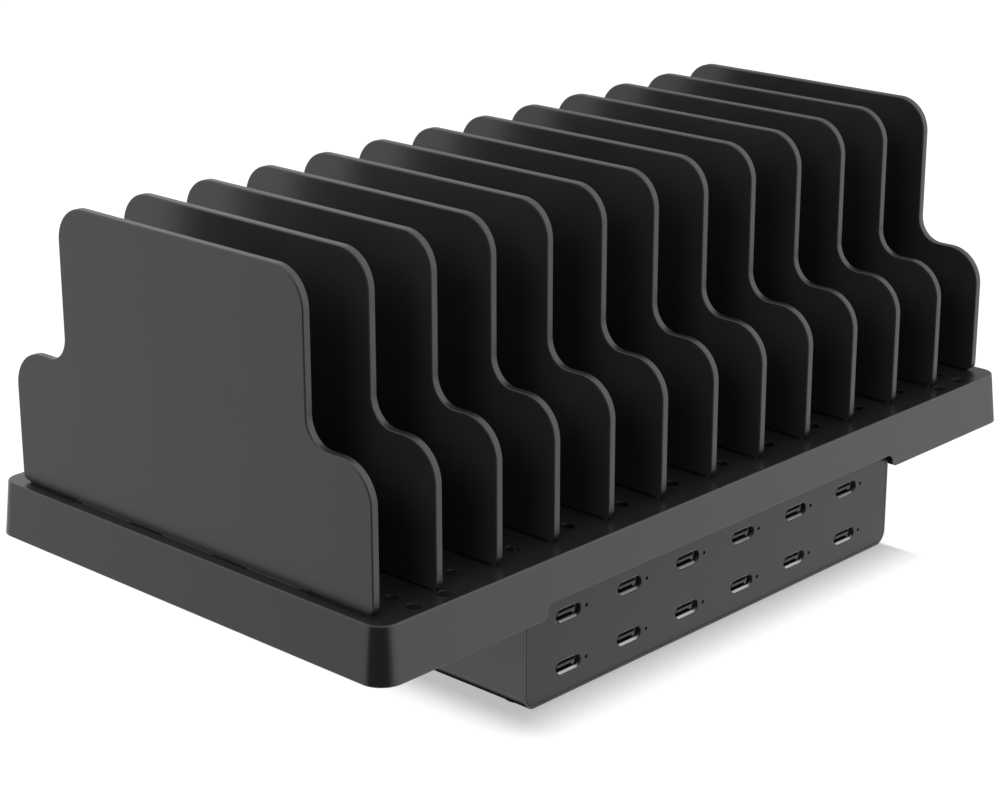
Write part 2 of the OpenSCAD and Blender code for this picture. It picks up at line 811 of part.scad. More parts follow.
module rear_panel() {
    color(charcoal)
    difference() {
        translate([0, 0, z_middle])
            along_y(y_rear_panel_front, panel_t)
                rounded_plate_2d(inner_w - 2 * panel_fit, inner_h - 2 * panel_fit, inner_r - panel_fit);
        translate([inlet_x, y_rear, z_middle])
            cube([inlet_w + 2 * panel_fit, 4 * panel_t, inlet_h + 2 * panel_fit], center = true);
        translate([switch_x, y_rear, z_middle])
            cube([switch_w + 2 * panel_fit, 4 * panel_t, switch_h + 2 * panel_fit], center = true);
        for (x = [-1, 1], z = [-1, 1])
            rod_y(x * case_boss_x, z_middle + z * case_boss_rise, screw_hole_d,
                y_rear_panel_front - past, y_rear + past);
        for (i = [0:vent_count - 1])
            translate([vent_middle + (i - vent_end) * vent_pitch, 0, z_middle])
                along_y(y_rear_panel_front - past, panel_t + 2 * past)
                    rotate(90)
                        oval_2d(vent_h, vent_w);
    }
}

// Sockets

module socket_shell(i, row) {
    color(steel)
    translate([socket_x(i), 0, socket_z(row)])
        difference() {
            union() {
                along_y(y_mouth, shell_len)
                    oval_2d(shell_w, shell_h);
                along_y(y_mouth, mouth_len)
                    oval_2d(opening_w - 2 * mouth_fit, opening_h - 2 * mouth_fit);
            }
            along_y(y_mouth - past, shell_len + 2 * past)
                oval_2d(inner_shell_w, inner_shell_h);
        }
}

module socket_tongues() {
    base_w = inner_shell_w - 2 * pilot_fit;
    base_h = inner_shell_h - 2 * pilot_fit;
    color(near_black)
    for (i = [0:sockets_per_row - 1], row = [0, 1])
        translate([socket_x(i), 0, socket_z(row)])
            union() {
                along_y(y_socket_board - tongue_base_len, tongue_base_len)
                    oval_2d(base_w, base_h);
                translate([-tongue_w / 2, y_mouth + tongue_setback, -tongue_t / 2])
                    cube([tongue_w, shell_len - tongue_setback - tongue_base_len / 2, tongue_t]);
            }
}

module socket_board() {
    color(board_green)
    difference() {
        translate([0, y_socket_board + board_t / 2, z_sockets])
            cube([socket_board_w, board_t, socket_board_h], center = true);
        for (x = [-1, 1], z = [-1, 1])
            rod_y(x * panel_boss_x, z_sockets + z * panel_boss_rise, board_screw_d + 2 * clearance_fit,
                y_socket_board - past, y_socket_board + board_t + past);
    }
}

module indicator_lamps() {
    color("white")
    for (i = [0:sockets_per_row - 1], row = [0, 1])
        translate([socket_x(i) + lamp_offset, y_socket_board - lamp_t / 2, socket_z(row)])
            cube([lamp_len, lamp_t, lamp_len / 2], center = true);
}

module light_pipes() {
    color([0.85, 0.88, 0.9])
    for (i = [0:sockets_per_row - 1], row = [0, 1]) {
        x = socket_x(i) + lamp_offset;
        z = socket_z(row);
        union() {
            rod_y(x, z, pipe_nib_d, y_front + pipe_nib_setback, y_panel_back + pipe_collar_t / 2);
            rod_y(x, z, pipe_collar_d, y_panel_back, y_panel_back + pipe_collar_t);
            rod_y(x, z, pipe_stem_d, y_panel_back + pipe_collar_t / 2, y_socket_board - lamp_t);
        }
    }
}

// Power electronics

module main_board() {
    color(board_green)
    difference() {
        translate([-main_board_w / 2, main_board_y0, z_board])
            cube([main_board_w, main_board_depth, board_t]);
        for (x = [-1, 1], y = [-1, 1])
            translate([x * standoff_x, main_board_y + y * standoff_y, z_board - past])
                cylinder(h = board_t + 2 * past, d = board_screw_d + 2 * clearance_fit);
    }
}

module board_standoffs() {
    color(brass)
    for (x = [-1, 1], y = [-1, 1])
        translate([x * standoff_x, main_board_y + y * standoff_y, z_cover_top])
            difference() {
                cylinder(h = standoff_h, d = standoff_d);
                translate([0, 0, standoff_floor])
                    cylinder(h = standoff_h, d = board_screw_d + 2 * pilot_fit);
            }
}

module transformer_core() {
    window_w = core_w / 2 - 2 * core_leg;
    color([0.2, 0.2, 0.22])
    translate([core_x, 0, z_board_top + core_h / 2])
        along_y(core_y - core_t / 2, core_t)
            difference() {
                square([core_w, core_h], center = true);
                for (x = [-1, 1])
                    translate([x * (core_leg + window_w / 2), 0])
                        square([window_w, core_h - 2 * core_leg], center = true);
            }
}

module transformer_winding() {
    window_w = core_w / 2 - 2 * core_leg;
    outer_w = 2 * (core_leg + window_w - part_fit);
    height = core_h - 2 * core_leg - part_fit;
    color([0.85, 0.7, 0.25])
    translate([core_x, core_y, z_board_top + core_leg])
        difference() {
            translate([0, 0, height / 2])
                cube([outer_w, core_t + 2 * winding_out, height], center = true);
            translate([0, 0, height / 2])
                cube([2 * (core_leg + part_fit), core_t + 2 * part_fit, height + 2 * past], center = true);
        }
}

module bulk_capacitors() {
    color([0.12, 0.13, 0.2])
    for (y = capacitor_y)
        translate([capacitor_x - capacitor_len / 2, y, z_board_top + capacitor_d / 2])
            rotate([0, 90, 0])
                difference() {
                    cylinder(h = capacitor_len, d = capacitor_d);
                    translate([0, 0, capacitor_groove_at])
                        rotate_extrude()
                            translate([capacitor_d / 2, 0])
                                circle(capacitor_groove);
                    translate([0, 0, capacitor_len - capacitor_dish])
                        cylinder(h = past, d = capacitor_d - 2 * capacitor_rim);
                }
}

module choke_core() {
    color([0.75, 0.72, 0.3])
    translate([choke_x, choke_y, z_board_top + winding_t + part_fit])
        difference() {
            cylinder(h = choke_h, d = choke_d);
            translate([0, 0, -past])
                cylinder(h = choke_h + 2 * past, d = choke_hole);
        }
}

module choke_winding() {
    inside = choke_hole / 2 - part_fit;
    outside = choke_d / 2 + part_fit;
    height = choke_h + 2 * part_fit;
    color([0.72, 0.4, 0.2])
    translate([choke_x, choke_y, z_board_top])
        for (a = [30, 210])
            rotate(a)
                rotate_extrude(angle = 120)
                    difference() {
                        translate([inside - winding_t, 0])
                            square([outside - inside + 2 * winding_t, height + 2 * winding_t]);
                        translate([inside, winding_t])
                            square([outside - inside, height]);
                    }
}

// A heat sink whose fins point to the left
module heat_sink(x) {
    step = (sink_len - sink_fin_t) / (sink_fin_count - 1);
    color([0.75, 0.76, 0.78])
    translate([x, sink_y, z_board_top])
        union() {
            translate([-sink_t / 2, -sink_len / 2, 0])
                cube([sink_t, sink_len, sink_h]);
            for (k = [0:sink_fin_count - 1])
                translate([-sink_fin_len - sink_t / 2, -sink_len / 2 + k * step, 0])
                    cube([sink_fin_len + sink_t / 2, sink_fin_t, sink_h]);
        }
}

module power_transistors() {
    color(near_black)
    for (x = [sink_left_x, sink_right_x], k = [-1, 1])
        translate([x + sink_t / 2, sink_y + k * transistor_gap / 2 - transistor_w / 2, z_board_top])
            cube([transistor_t, transistor_w, transistor_h]);
}

module fuse() {
    color([0.8, 0.88, 0.9])
    rod_y(fuse_x, z_fuse, fuse_d, fuse_y - fuse_len / 2, fuse_y + fuse_len / 2);
}

module fuse_clips() {
    color(steel)
    for (side = [-1, 1])
        translate([fuse_x, fuse_y + side * (fuse_len - fuse_cap_len) / 2, z_fuse])
            difference() {
                union() {
                    rotate([90, 0, 0])
                        cylinder(h = fuse_cap_len, d = fuse_d + 2 * fuse_cap_t, center = true);
                    translate([-fuse_d / 2, -fuse_cap_len / 2, z_board_top - z_fuse])
                        cube([fuse_d, fuse_cap_len, z_fuse - z_board_top]);
                }
                rotate([90, 0, 0])
                    cylinder(h = fuse_cap_len + 2 * past, d = fuse_d + 2 * pilot_fit, center = true);
            }
}

// Mains inlet and power switch

// The outline of the inlet's cavity: a rectangle with two upper corners cut off
module inlet_cavity_2d() {
    w = inlet_w / 2 - inlet_wall;
    h = inlet_h / 2 - inlet_wall;
    cut = inlet_corner_cut;
    polygon([[-w, -h], [w, -h], [w, h - cut], [w - cut, h], [cut - w, h], [-w, h - cut]]);
}

// Where the three pins stand in the inlet
inlet_pin_at = [[-pin_gap, -2], [pin_gap, -2], [0, 2]];

module inlet_body() {
    y_back = y_rear - inlet_depth;
    color(near_black)
    translate([inlet_x, 0, z_middle])
        difference() {
            union() {
                along_y(y_back, inlet_depth + inlet_flange_t / 2)
                    square([inlet_w, inlet_h], center = true);
                along_y(y_rear, inlet_flange_t)
                    rounded_plate_2d(inlet_w + 2 * inlet_flange, inlet_h + 2 * inlet_flange, inlet_flange_r);
            }
            along_y(y_back + inlet_floor, inlet_depth + inlet_flange_t + past)
                inlet_cavity_2d();
            for (p = inlet_pin_at)
                translate([p.x, y_back + inlet_floor / 2, p.y])
                    cube([pin_t, inlet_floor + 2 * past, pin_w], center = true);
        }
}

module inlet_pins() {
    y_back = y_rear - inlet_depth;
    color(steel)
    for (p = inlet_pin_at)
        translate([inlet_x + p.x - pin_t / 2, y_back - pin_tail, z_middle + p.y - pin_w / 2])
            cube([pin_t, pin_tail + inlet_floor + pin_len, pin_w]);
}

module switch_frame() {
    y_back = y_rear - switch_depth;
    bezel_w = switch_w + 2 * switch_bezel;
    bezel_h = switch_h + 2 * switch_bezel;
    color(near_black)
    difference() {
        translate([switch_x, 0, z_middle])
            difference() {
                union() {
                    along_y(y_back, switch_depth + switch_bezel_t / 2)
                        square([switch_w, switch_h], center = true);
                    along_y(y_rear, switch_bezel_t)
                        rounded_plate_2d(bezel_w, bezel_h, switch_bezel_r);
                }
                along_y(y_back + switch_floor, switch_depth + switch_bezel_t + past)
                    square([switch_w - 2 * switch_wall, switch_h - 2 * switch_wall], center = true);
            }
        translate([switch_x, y_rear, z_middle])
            cylinder(h = rocker_bore_len, d = rocker_bore_d, center = true);
    }
}

// The rocker stands at one end of its swing, and turns about a pin along Z
module switch_rocker() {
    color([0.1, 0.1, 0.11])
    translate([switch_x, y_rear, z_middle])
        rotate(-rocker_swing / 2)
            union() {
                translate([0, 0, -rocker_t / 2])
                    linear_extrude(rocker_t)
                        polygon([
                            [-rocker_w / 2, rocker_crown], [0, rocker_valley], [rocker_w / 2, rocker_crown],
                            [rocker_w / 2 - rocker_draft, -rocker_waist], [rocker_root_w / 2, -rocker_root],
                            [-rocker_root_w / 2, -rocker_root], [rocker_draft - rocker_w / 2, -rocker_waist]
                        ]);
                cylinder(h = rocker_pin_len, d = rocker_pin_d, center = true);
            }
}

// Wiring

module mains_wires() {
    y_tail = y_rear - inlet_depth - pin_tail;
    y_solder = main_board_y1 - lead_inset;
    ahead = [0, -wire_d, 0];
    up = [0, 0, wire_d];
    for (k = [0:2]) {
        from = [inlet_x + inlet_pin_at[k].x, y_tail, z_middle + inlet_pin_at[k].y];
        to = [inlet_x + inlet_solder_x[k], y_solder, z_board_top];
        color(k == 2 ? [0.2, 0.5, 0.2] : [0.55, 0.16, 0.12])
            tube(lead(from, ahead, to, up), wire_d);
    }
    color([0.3, 0.3, 0.7])
    for (k = [-1, 1]) {
        x = switch_x + k * switch_lead_x;
        tube(lead([x, y_rear - switch_depth, z_middle], ahead, [x, y_solder, z_board_top], up), wire_d);
    }
}

module harness_connectors() {
    color([0.9, 0.9, 0.86])
    union() {
        translate([-connector_w / 2, main_board_y0, z_board_top])
            cube([connector_w, main_connector_t, connector_h]);
        translate([-connector_w / 2, y_socket_board + board_t, ribbon_z + ribbon_t / 2 - connector_h / 2])
            cube([connector_w, socket_connector_t, connector_h]);
    }
}

module board_harness() {
    y0 = y_socket_board + board_t + socket_connector_t;
    color([0.6, 0.6, 0.62])
    translate([-ribbon_w / 2, y0, ribbon_z])
        cube([ribbon_w, main_board_y0 - y0, ribbon_t]);
}

// Screws

module deck_screws() {
    color(steel)
    for (x = [-1, 1], y = [-1, 1])
        translate([x * boss_x, y_housing + y * boss_spacing / 2, z_inside_top])
            screw(screw_d, screw_head_d, screw_head_h, screw_len);
}

module case_screws() {
    color(steel) {
        for (x = [-1, 1], y = post_y)
            translate([x * post_x, y, z_floor])
                flat_screw(screw_d, screw_head_d, screw_head_h, case_screw_len);
        for (x = [-1, 1], z = [-1, 1])
            translate([x * case_boss_x, y_rear, z_middle + z * case_boss_rise])
                rotate([90, 0, 0])
                    screw(screw_d, screw_head_d, screw_head_h, case_screw_len);
    }
}

module board_screws() {
    color(brass) {
        for (x = [-1, 1], z = [-1, 1])
            translate([x * panel_boss_x, y_socket_board + board_t, z_sockets + z * panel_boss_rise])
                rotate([90, 0, 0])
                    screw(board_screw_d, board_head_d, screw_head_h, panel_screw_len);
        for (x = [-1, 1], y = [-1, 1])
            translate([x * standoff_x, main_board_y + y * standoff_y, z_board_top])
                rotate([180, 0, 0])
                    screw(board_screw_d, board_head_d, screw_head_h, standoff_screw_len);
    }
}

deck();
divider(0);  // divider_01
divider(1);  // divider_02
divider(2);  // divider_03
divider(3);  // divider_04
divider(4);  // divider_05
divider(5);  // divider_06
divider(6);  // divider_07
divider(7);  // divider_08
divider(8);  // divider_09
divider(9);  // divider_10
divider(10);  // divider_11
divider(11);  // divider_12
divider(12);  // divider_13
housing_shell();
bottom_cover();
front_panel();
rear_panel();
foot(-1, foot_y[0]);  // foot_front_left
foot(1, foot_y[0]);  // foot_front_right
foot(-1, foot_y[1]);  // foot_rear_left
foot(1, foot_y[1]);  // foot_rear_right
socket_shell(0, 0);  // socket_01
socket_shell(1, 0);  // socket_02
socket_shell(2, 0);  // socket_03
socket_shell(3, 0);  // socket_04
socket_shell(4, 0);  // socket_05
socket_shell(5, 0);  // socket_06
socket_shell(0, 1);  // socket_07
socket_shell(1, 1);  // socket_08
socket_shell(2, 1);  // socket_09
socket_shell(3, 1);  // socket_10
socket_shell(4, 1);  // socket_11
socket_shell(5, 1);  // socket_12
socket_tongues();
socket_board();
indicator_lamps();
light_pipes();
main_board();
board_standoffs();
transformer_core();
transformer_winding();
bulk_capacitors();
choke_core();
choke_winding();
heat_sink(sink_left_x);  // heat_sink_left
heat_sink(sink_right_x);  // heat_sink_right
power_transistors();
fuse();
fuse_clips();
inlet_body();
inlet_pins();
switch_frame();
switch_rocker();
mains_wires();
board_harness();
harness_connectors();
deck_screws();
case_screws();
board_screws();
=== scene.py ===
"""Desktop charging rack with thirteen upright dividers over a low charger housing, in metres."""
import json
import logging
import math
from dataclasses import dataclass, field
from enum import Enum

import bmesh
import bpy
from mathutils import Matrix, Vector

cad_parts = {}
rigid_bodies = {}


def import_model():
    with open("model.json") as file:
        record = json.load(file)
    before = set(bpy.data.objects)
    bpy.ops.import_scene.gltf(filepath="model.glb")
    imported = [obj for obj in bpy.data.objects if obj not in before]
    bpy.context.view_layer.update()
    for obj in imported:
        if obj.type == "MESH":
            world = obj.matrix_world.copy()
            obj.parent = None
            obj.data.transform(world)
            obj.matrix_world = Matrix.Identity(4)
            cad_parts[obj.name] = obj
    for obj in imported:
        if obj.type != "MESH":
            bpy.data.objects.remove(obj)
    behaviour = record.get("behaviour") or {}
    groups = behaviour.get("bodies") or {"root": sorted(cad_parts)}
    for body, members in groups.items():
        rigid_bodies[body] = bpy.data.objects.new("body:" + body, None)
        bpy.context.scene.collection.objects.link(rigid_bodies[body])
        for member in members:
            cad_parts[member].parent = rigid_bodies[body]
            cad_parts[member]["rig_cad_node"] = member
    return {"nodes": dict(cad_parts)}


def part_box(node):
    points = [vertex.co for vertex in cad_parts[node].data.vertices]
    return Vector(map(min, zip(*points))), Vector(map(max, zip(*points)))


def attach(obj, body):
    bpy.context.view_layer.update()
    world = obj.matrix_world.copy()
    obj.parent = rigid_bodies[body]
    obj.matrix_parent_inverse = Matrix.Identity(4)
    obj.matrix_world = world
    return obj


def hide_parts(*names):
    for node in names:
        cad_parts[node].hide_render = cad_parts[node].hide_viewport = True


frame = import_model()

logging.basicConfig(level=logging.INFO, format="%(name)s: %(message)s")
LOG = logging.getLogger("charging_rack")
MM = 0.001
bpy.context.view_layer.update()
RACK = "rack"

Pair = tuple[float, float]
Triple = tuple[float, float, float]
Colour = Triple
Outline = list[Pair]


# Shader expressions

NOISE_BAND = (0.3, 0.7)
NOISE_ROUGHNESS = 0.55
BEVEL_SAMPLES = 4
EDGE_GAIN = 9.0


class Kind(Enum):
    """What a socket carries."""

    NUMBER = "number"
    VECTOR = "vector"
    SHADER = "shader"


class Axis(Enum):
    """An axis of the object's frame."""

    X = "X"
    Y = "Y"
    Z = "Z"


class Ray(Enum):
    """A kind of ray that a material or the world can tell apart."""

    CAMERA = "Is Camera Ray"
    GLOSSY = "Is Glossy Ray"
    TRANSMISSION = "Is Transmission Ray"


class Wire:
    """One output socket; Python's operators on it add the nodes that work the value out."""

    def __init__(self, paint: "Paint", socket: bpy.types.NodeSocket, kind: Kind = Kind.NUMBER) -> None:
        """Wraps a socket.

        Args:
            paint: The material that the socket belongs to.
            socket: The output socket.
            kind: Whether it carries a number, or a colour or vector.
        """
        self.paint = paint
        self.socket = socket
        self.kind = kind

    def _join(self, operation: str, first: object, second: object) -> "Wire":
        """Adds one Math or Vector Math node.

        Args:
            operation: The node's operation.
            first: Its first input.
            second: Its second input.

        Returns:
            The node's result.
        """
        if self.kind is Kind.NUMBER:
            return self.paint.node("ShaderNodeMath", {"operation": operation}, {0: first, 1: second})
        settings = {"operation": operation}
        spread = [(value,) * 3 if isinstance(value, (int, float)) else value for value in (first, second)]
        return self.paint.node("ShaderNodeVectorMath", settings, dict(enumerate(spread)), 0, Kind.VECTOR)

    def __add__(self, other: object) -> "Wire":
        """Returns self + other."""
        return self._join("ADD", self, other)

    def __radd__(self, other: object) -> "Wire":
        """Returns other + self."""
        return self._join("ADD", other, self)

    def __sub__(self, other: object) -> "Wire":
        """Returns self - other."""
        return self._join("SUBTRACT", self, other)

    def __rsub__(self, other: object) -> "Wire":
        """Returns other - self."""
        return self._join("SUBTRACT", other, self)

    def __mul__(self, other: object) -> "Wire":
        """Returns self * other."""
        return self._join("MULTIPLY", self, other)

    def __rmul__(self, other: object) -> "Wire":
        """Returns other * self."""
        return self._join("MULTIPLY", other, self)

    def __neg__(self) -> "Wire":
        """Returns 0 - self."""
        return self._join("SUBTRACT", 0.0, self)

    def root(self) -> "Wire":
        """Returns the square root of self."""
        return self._join("POWER", self, 0.5)

    def above(self, other: object) -> "Wire":
        """Returns 1 where self is above other, and 0 elsewhere."""
        return self._join("GREATER_THAN", self, other)

    def most(self, other: object) -> "Wire":
        """Returns the larger of self and other."""
        return self._join("MAXIMUM", self, other)

    def size(self) -> "Wire":
        """Returns self without its sign."""
        return self.paint.node("ShaderNodeMath", {"operation": "ABSOLUTE"}, {0: self})

    def wave(self) -> "Wire":
        """Returns the sine of self."""
        return self.paint.node("ShaderNodeMath", {"operation": "SINE"}, {0: self})

    def clamped(self) -> "Wire":
        """Returns self, kept from 0 to 1."""
        return self.paint.node("ShaderNodeMath", {"operation": "ADD", "use_clamp": True}, {0: self, 1: 0.0})

    def band(self, low: float, high: float) -> "Wire":
        """Returns a smooth step.

        Args:
            low: Where the result starts to leave 0.
            high: Where it reaches 1.

        Returns:
            A number from 0 to 1.
        """
        settings = {"interpolation_type": "SMOOTHSTEP"}
        inputs = {"Value": self, "From Min": low, "From Max": high}
        return self.paint.node("ShaderNodeMapRange", settings, inputs)


class Paint:
    """A material, or the world, under construction."""

    def __init__(self, name: str, of_world: bool = False) -> None:
        """Starts an empty node tree.

        Args:
            name: The material's or the world's name.
            of_world: Whether it is the world.
        """
        store = bpy.data.worlds if of_world else bpy.data.materials
        self.block = store.new(name)
        self.block.use_nodes = True
        self.tree = self.block.node_tree
        self.tree.nodes.clear()
        self.out = self.tree.nodes.new("ShaderNodeOutputWorld" if of_world else "ShaderNodeOutputMaterial")

    def node(
        self, kind_name: str, settings: dict, inputs: dict, output: int | str = 0, kind: Kind = Kind.NUMBER
    ) -> Wire:
        """Adds any node.

        Args:
            kind_name: The node's type.
            settings: Its properties, which are set first.
            inputs: Its sockets' values or links, by name or number.
            output: The output that is wanted.
            kind: What that output carries.

        Returns:
            The output.
        """
        made = self.tree.nodes.new(kind_name)
        for key, value in settings.items():
            setattr(made, key, value)
        for key, value in inputs.items():
            self.feed(made.inputs[key], value)
        return Wire(self, made.outputs[output], kind)

    def feed(self, socket: bpy.types.NodeSocket, value: object) -> None:
        """Sets or links one input.

        Args:
            socket: The input.
            value: A Wire, a number, or a colour or vector.
        """
        if isinstance(value, Wire):
            self.tree.links.new(value.socket, socket)
        elif socket.type == "RGBA" and len(value) == 3:
            socket.default_value = (*value, 1.0)
        else:
            socket.default_value = value

    def place(self) -> Wire:
        """Returns the point on the object, in metres."""
        return self.node("ShaderNodeTexCoord", {}, {}, "Object", Kind.VECTOR)

    def axis(self, axis: Axis) -> Wire:
        """Returns one coordinate of the point on the object.

        Args:
            axis: Which one.

        Returns:
            The coordinate, in metres.
        """
        return self.node("ShaderNodeSeparateXYZ", {}, {0: self.place()}, axis.value)

    def noise(self, size: float, detail: float = 2.0, stretch: Triple = (1.0, 1.0, 1.0)) -> Wire:
        """Returns soft noise from 0 to 1.

        Args:
            size: The size of its blots, in metres.
            detail: Its finer layers.
            stretch: How many times finer it is along each axis.

        Returns:
            The noise.
        """
        inputs = {
            "Vector": self.place() * stretch,
            "Scale": 1.0 / size,
            "Detail": detail,
            "Roughness": NOISE_ROUGHNESS,
        }
        return self.node("ShaderNodeTexNoise", {}, inputs)

    def cells(self, size: float) -> Wire:
        """Returns the distance to the nearest point of a cell pattern.

        Args:
            size: The size of its cells, in metres.

        Returns:
            The distance.
        """
        inputs = {"Vector": self.place(), "Scale": 1.0 / size}
        return self.node("ShaderNodeTexVoronoi", {"feature": "F1"}, inputs, "Distance")

    def along(self, vector: object, direction: object) -> Wire:
        """Returns how far a vector reaches along a direction.

        Args:
            vector: The vector.
            direction: The direction, of length 1.

        Returns:
            Their dot product.
        """
        settings = {"operation": "DOT_PRODUCT"}
        return self.node("ShaderNodeVectorMath", settings, {0: vector, 1: direction}, "Value")

    def heading(self, direction: Triple) -> Wire:
        """Returns how far the world's own ray reaches along a direction.

        Args:
            direction: The direction, of length 1.

        Returns:
            1 along it, and -1 against it.
        """
        return self.along(self.node("ShaderNodeTexCoord", {}, {}, "Generated", Kind.VECTOR), direction)

    def blend(self, share: object, first: object, second: object) -> Wire:
        """Mixes two colours.

        Args:
            share: 0 gives the first, 1 the second.
            first: A colour.
            second: A colour.

        Returns:
            The mixed colour.
        """
        settings = {"data_type": "RGBA", "clamp_factor": True}
        return self.node("ShaderNodeMix", settings, {0: share, 6: first, 7: second}, 2, Kind.VECTOR)

    def rounded(self, radius: float) -> Wire:
        """Returns the surface's normal with its edges rounded.

        Args:
            radius: The radius of the rounding, in metres.

        Returns:
            The normal.
        """
        return self.node("ShaderNodeBevel", {"samples": BEVEL_SAMPLES}, {"Radius": radius}, 0, Kind.VECTOR)

    def edges(self, radius: float) -> Wire:
        """Returns 1 on edges and 0 on open faces, for edges that are worn and carry a painted highlight.

        Args:
            radius: How far from an edge the mask reaches, in metres.

        Returns:
            The mask.
        """
        true_normal = self.node("ShaderNodeNewGeometry", {}, {}, "Normal", Kind.VECTOR)
        facing = self.along(self.rounded(radius), true_normal)
        return ((1.0 - facing) * EDGE_GAIN).clamped()

    def bump(self, height: Wire, depth: float, radius: float = 0.0) -> Wire:
        """Returns a normal with fine relief.

        Args:
            height: The relief, from 0 to 1.
            depth: Its depth, in metres.
            radius: The rounding of the edges under it, in metres.

        Returns:
            The normal.
        """
        inputs = {"Strength": 1.0, "Distance": depth, "Height": height}
        if radius:
            inputs["Normal"] = self.rounded(radius)
        return self.node("ShaderNodeBump", {}, inputs, 0, Kind.VECTOR)

    def finish(self, **inputs: object) -> bpy.types.Material:
        """Ends the material with a Principled surface.

        Args:
            **inputs: The shader's sockets, with _ for a space.

        Returns:
            The material.
        """
        sockets = {key.replace("_", " "): value for key, value in inputs.items()}
        return self.surface(self.node("ShaderNodeBsdfPrincipled", {}, sockets, 0, Kind.SHADER))

    def surface(self, shader: Wire) -> bpy.types.ID:
        """Ends the tree with a shader.

        Args:
            shader: The shader.

        Returns:
            The material or the world.
        """
        self.tree.links.new(shader.socket, self.out.inputs["Surface"])
        return self.block


# Finishes


def shade(colour: Colour, times: float) -> Colour:
    """Returns a colour made lighter or darker.

    Args:
        colour: The colour.
        times: The factor.

    Returns:
        The new colour.
    """
    return tuple(min(channel * times, 1.0) for channel in colour)


@dataclass(frozen=True)
class MouldedPlastic:
    """Moulded plastic or rubber with a spark-eroded grain.

    Its edges turn pale, partly from wearing and partly as a painted highlight line. Where spared is set, they
    do so only past that half width or half depth.
    """

    name: str
    colour: Colour
    roughness: float = 0.32
    grain: float = 0.28 * MM
    relief: float = 0.004 * MM
    wear_and_highlight: float = 0.5
    worn_and_highlit_shade: float = 4.0
    edge: float = 0.25 * MM
    ior: float = 1.5
    spared: Pair = (0.0, 0.0)
    wear_reach: float = 0.5 * MM
    wear_blots: float = 6 * MM
    wear_least: float = 0.5
    wear_polish: float = 0.12
    cloud_size: float = 30 * MM
    cloud_shades: Pair = (0.88, 1.12)
    cloud_haze: float = 0.1
    grain_band: Pair = (0.35, 0.75)
    grain_share: float = 0.3
    grain_shade: float = 1.35
    grain_haze: float = 0.08

    def material(self) -> bpy.types.Material:
        """Returns the material."""
        paint = Paint(self.name)
        grain = paint.noise(self.grain, 2.0)
        cloud = paint.noise(self.cloud_size, 3.0)
        blots = paint.noise(self.wear_blots, 4.0).band(*NOISE_BAND)
        blots = blots * (1.0 - self.wear_least) + self.wear_least
        # Pale edges: partly worn, partly a painted highlight line along them.
        worn_and_highlit = paint.edges(self.wear_reach) * blots * self.wear_and_highlight
        if any(self.spared):
            past = paint.axis(Axis.X).size() - self.spared[0]
            past = past.most(paint.axis(Axis.Y).size() - self.spared[1])
            worn_and_highlit = worn_and_highlit * past.above(0.0)
        dark, light = (shade(self.colour, times) for times in self.cloud_shades)
        body = paint.blend(cloud.band(*NOISE_BAND), dark, light)
        specks = grain.band(*self.grain_band) * self.grain_share
        body = paint.blend(specks, body, shade(self.colour, self.grain_shade))
        # Painted highlight with wearing: the edges' colour is lightened.
        body = paint.blend(worn_and_highlit, body, shade(self.colour, self.worn_and_highlit_shade))
        rough = self.roughness + (cloud - 0.5) * self.cloud_haze + (grain - 0.5) * self.grain_haze
        rough = rough - worn_and_highlit * self.wear_polish
        normal = paint.bump(grain, self.relief, self.edge)
        return paint.finish(Base_Color=body, Roughness=rough.clamped(), Normal=normal, IOR=self.ior)


@dataclass(frozen=True)
class WorkedMetal:
    """Drawn, plated or turned metal, brushed along one direction."""

    name: str
    colour: Colour
    roughness: float = 0.3
    brush: Triple = (1.0, 12.0, 12.0)
    stain: Colour = (0.35, 0.33, 0.3)
    stain_size: float = 4 * MM
    stain_band: Pair = (0.45, 0.8)
    stain_share: float = 0.35
    stain_haze: float = 0.1
    line_size: float = 1.2 * MM
    line_band: Pair = (0.4, 0.7)
    line_share: float = 0.25
    line_shade: float = 1.15
    line_haze: float = 0.25
    relief: float = 0.006 * MM
    edge: float = 0.06 * MM

    def material(self) -> bpy.types.Material:
        """Returns the material."""
        paint = Paint(self.name)
        lines = paint.noise(self.line_size, 3.0, self.brush)
        cloud = paint.noise(self.stain_size, 3.0)
        body = paint.blend(cloud.band(*self.stain_band) * self.stain_share, self.colour, self.stain)
        streaks = lines.band(*self.line_band) * self.line_share
        body = paint.blend(streaks, body, shade(self.colour, self.line_shade))
        rough = self.roughness + (lines - 0.5) * self.line_haze + (cloud - 0.5) * self.stain_haze
        normal = paint.bump(lines, self.relief, self.edge)
        return paint.finish(Base_Color=body, Roughness=rough.clamped(), Metallic=1.0, Normal=normal)


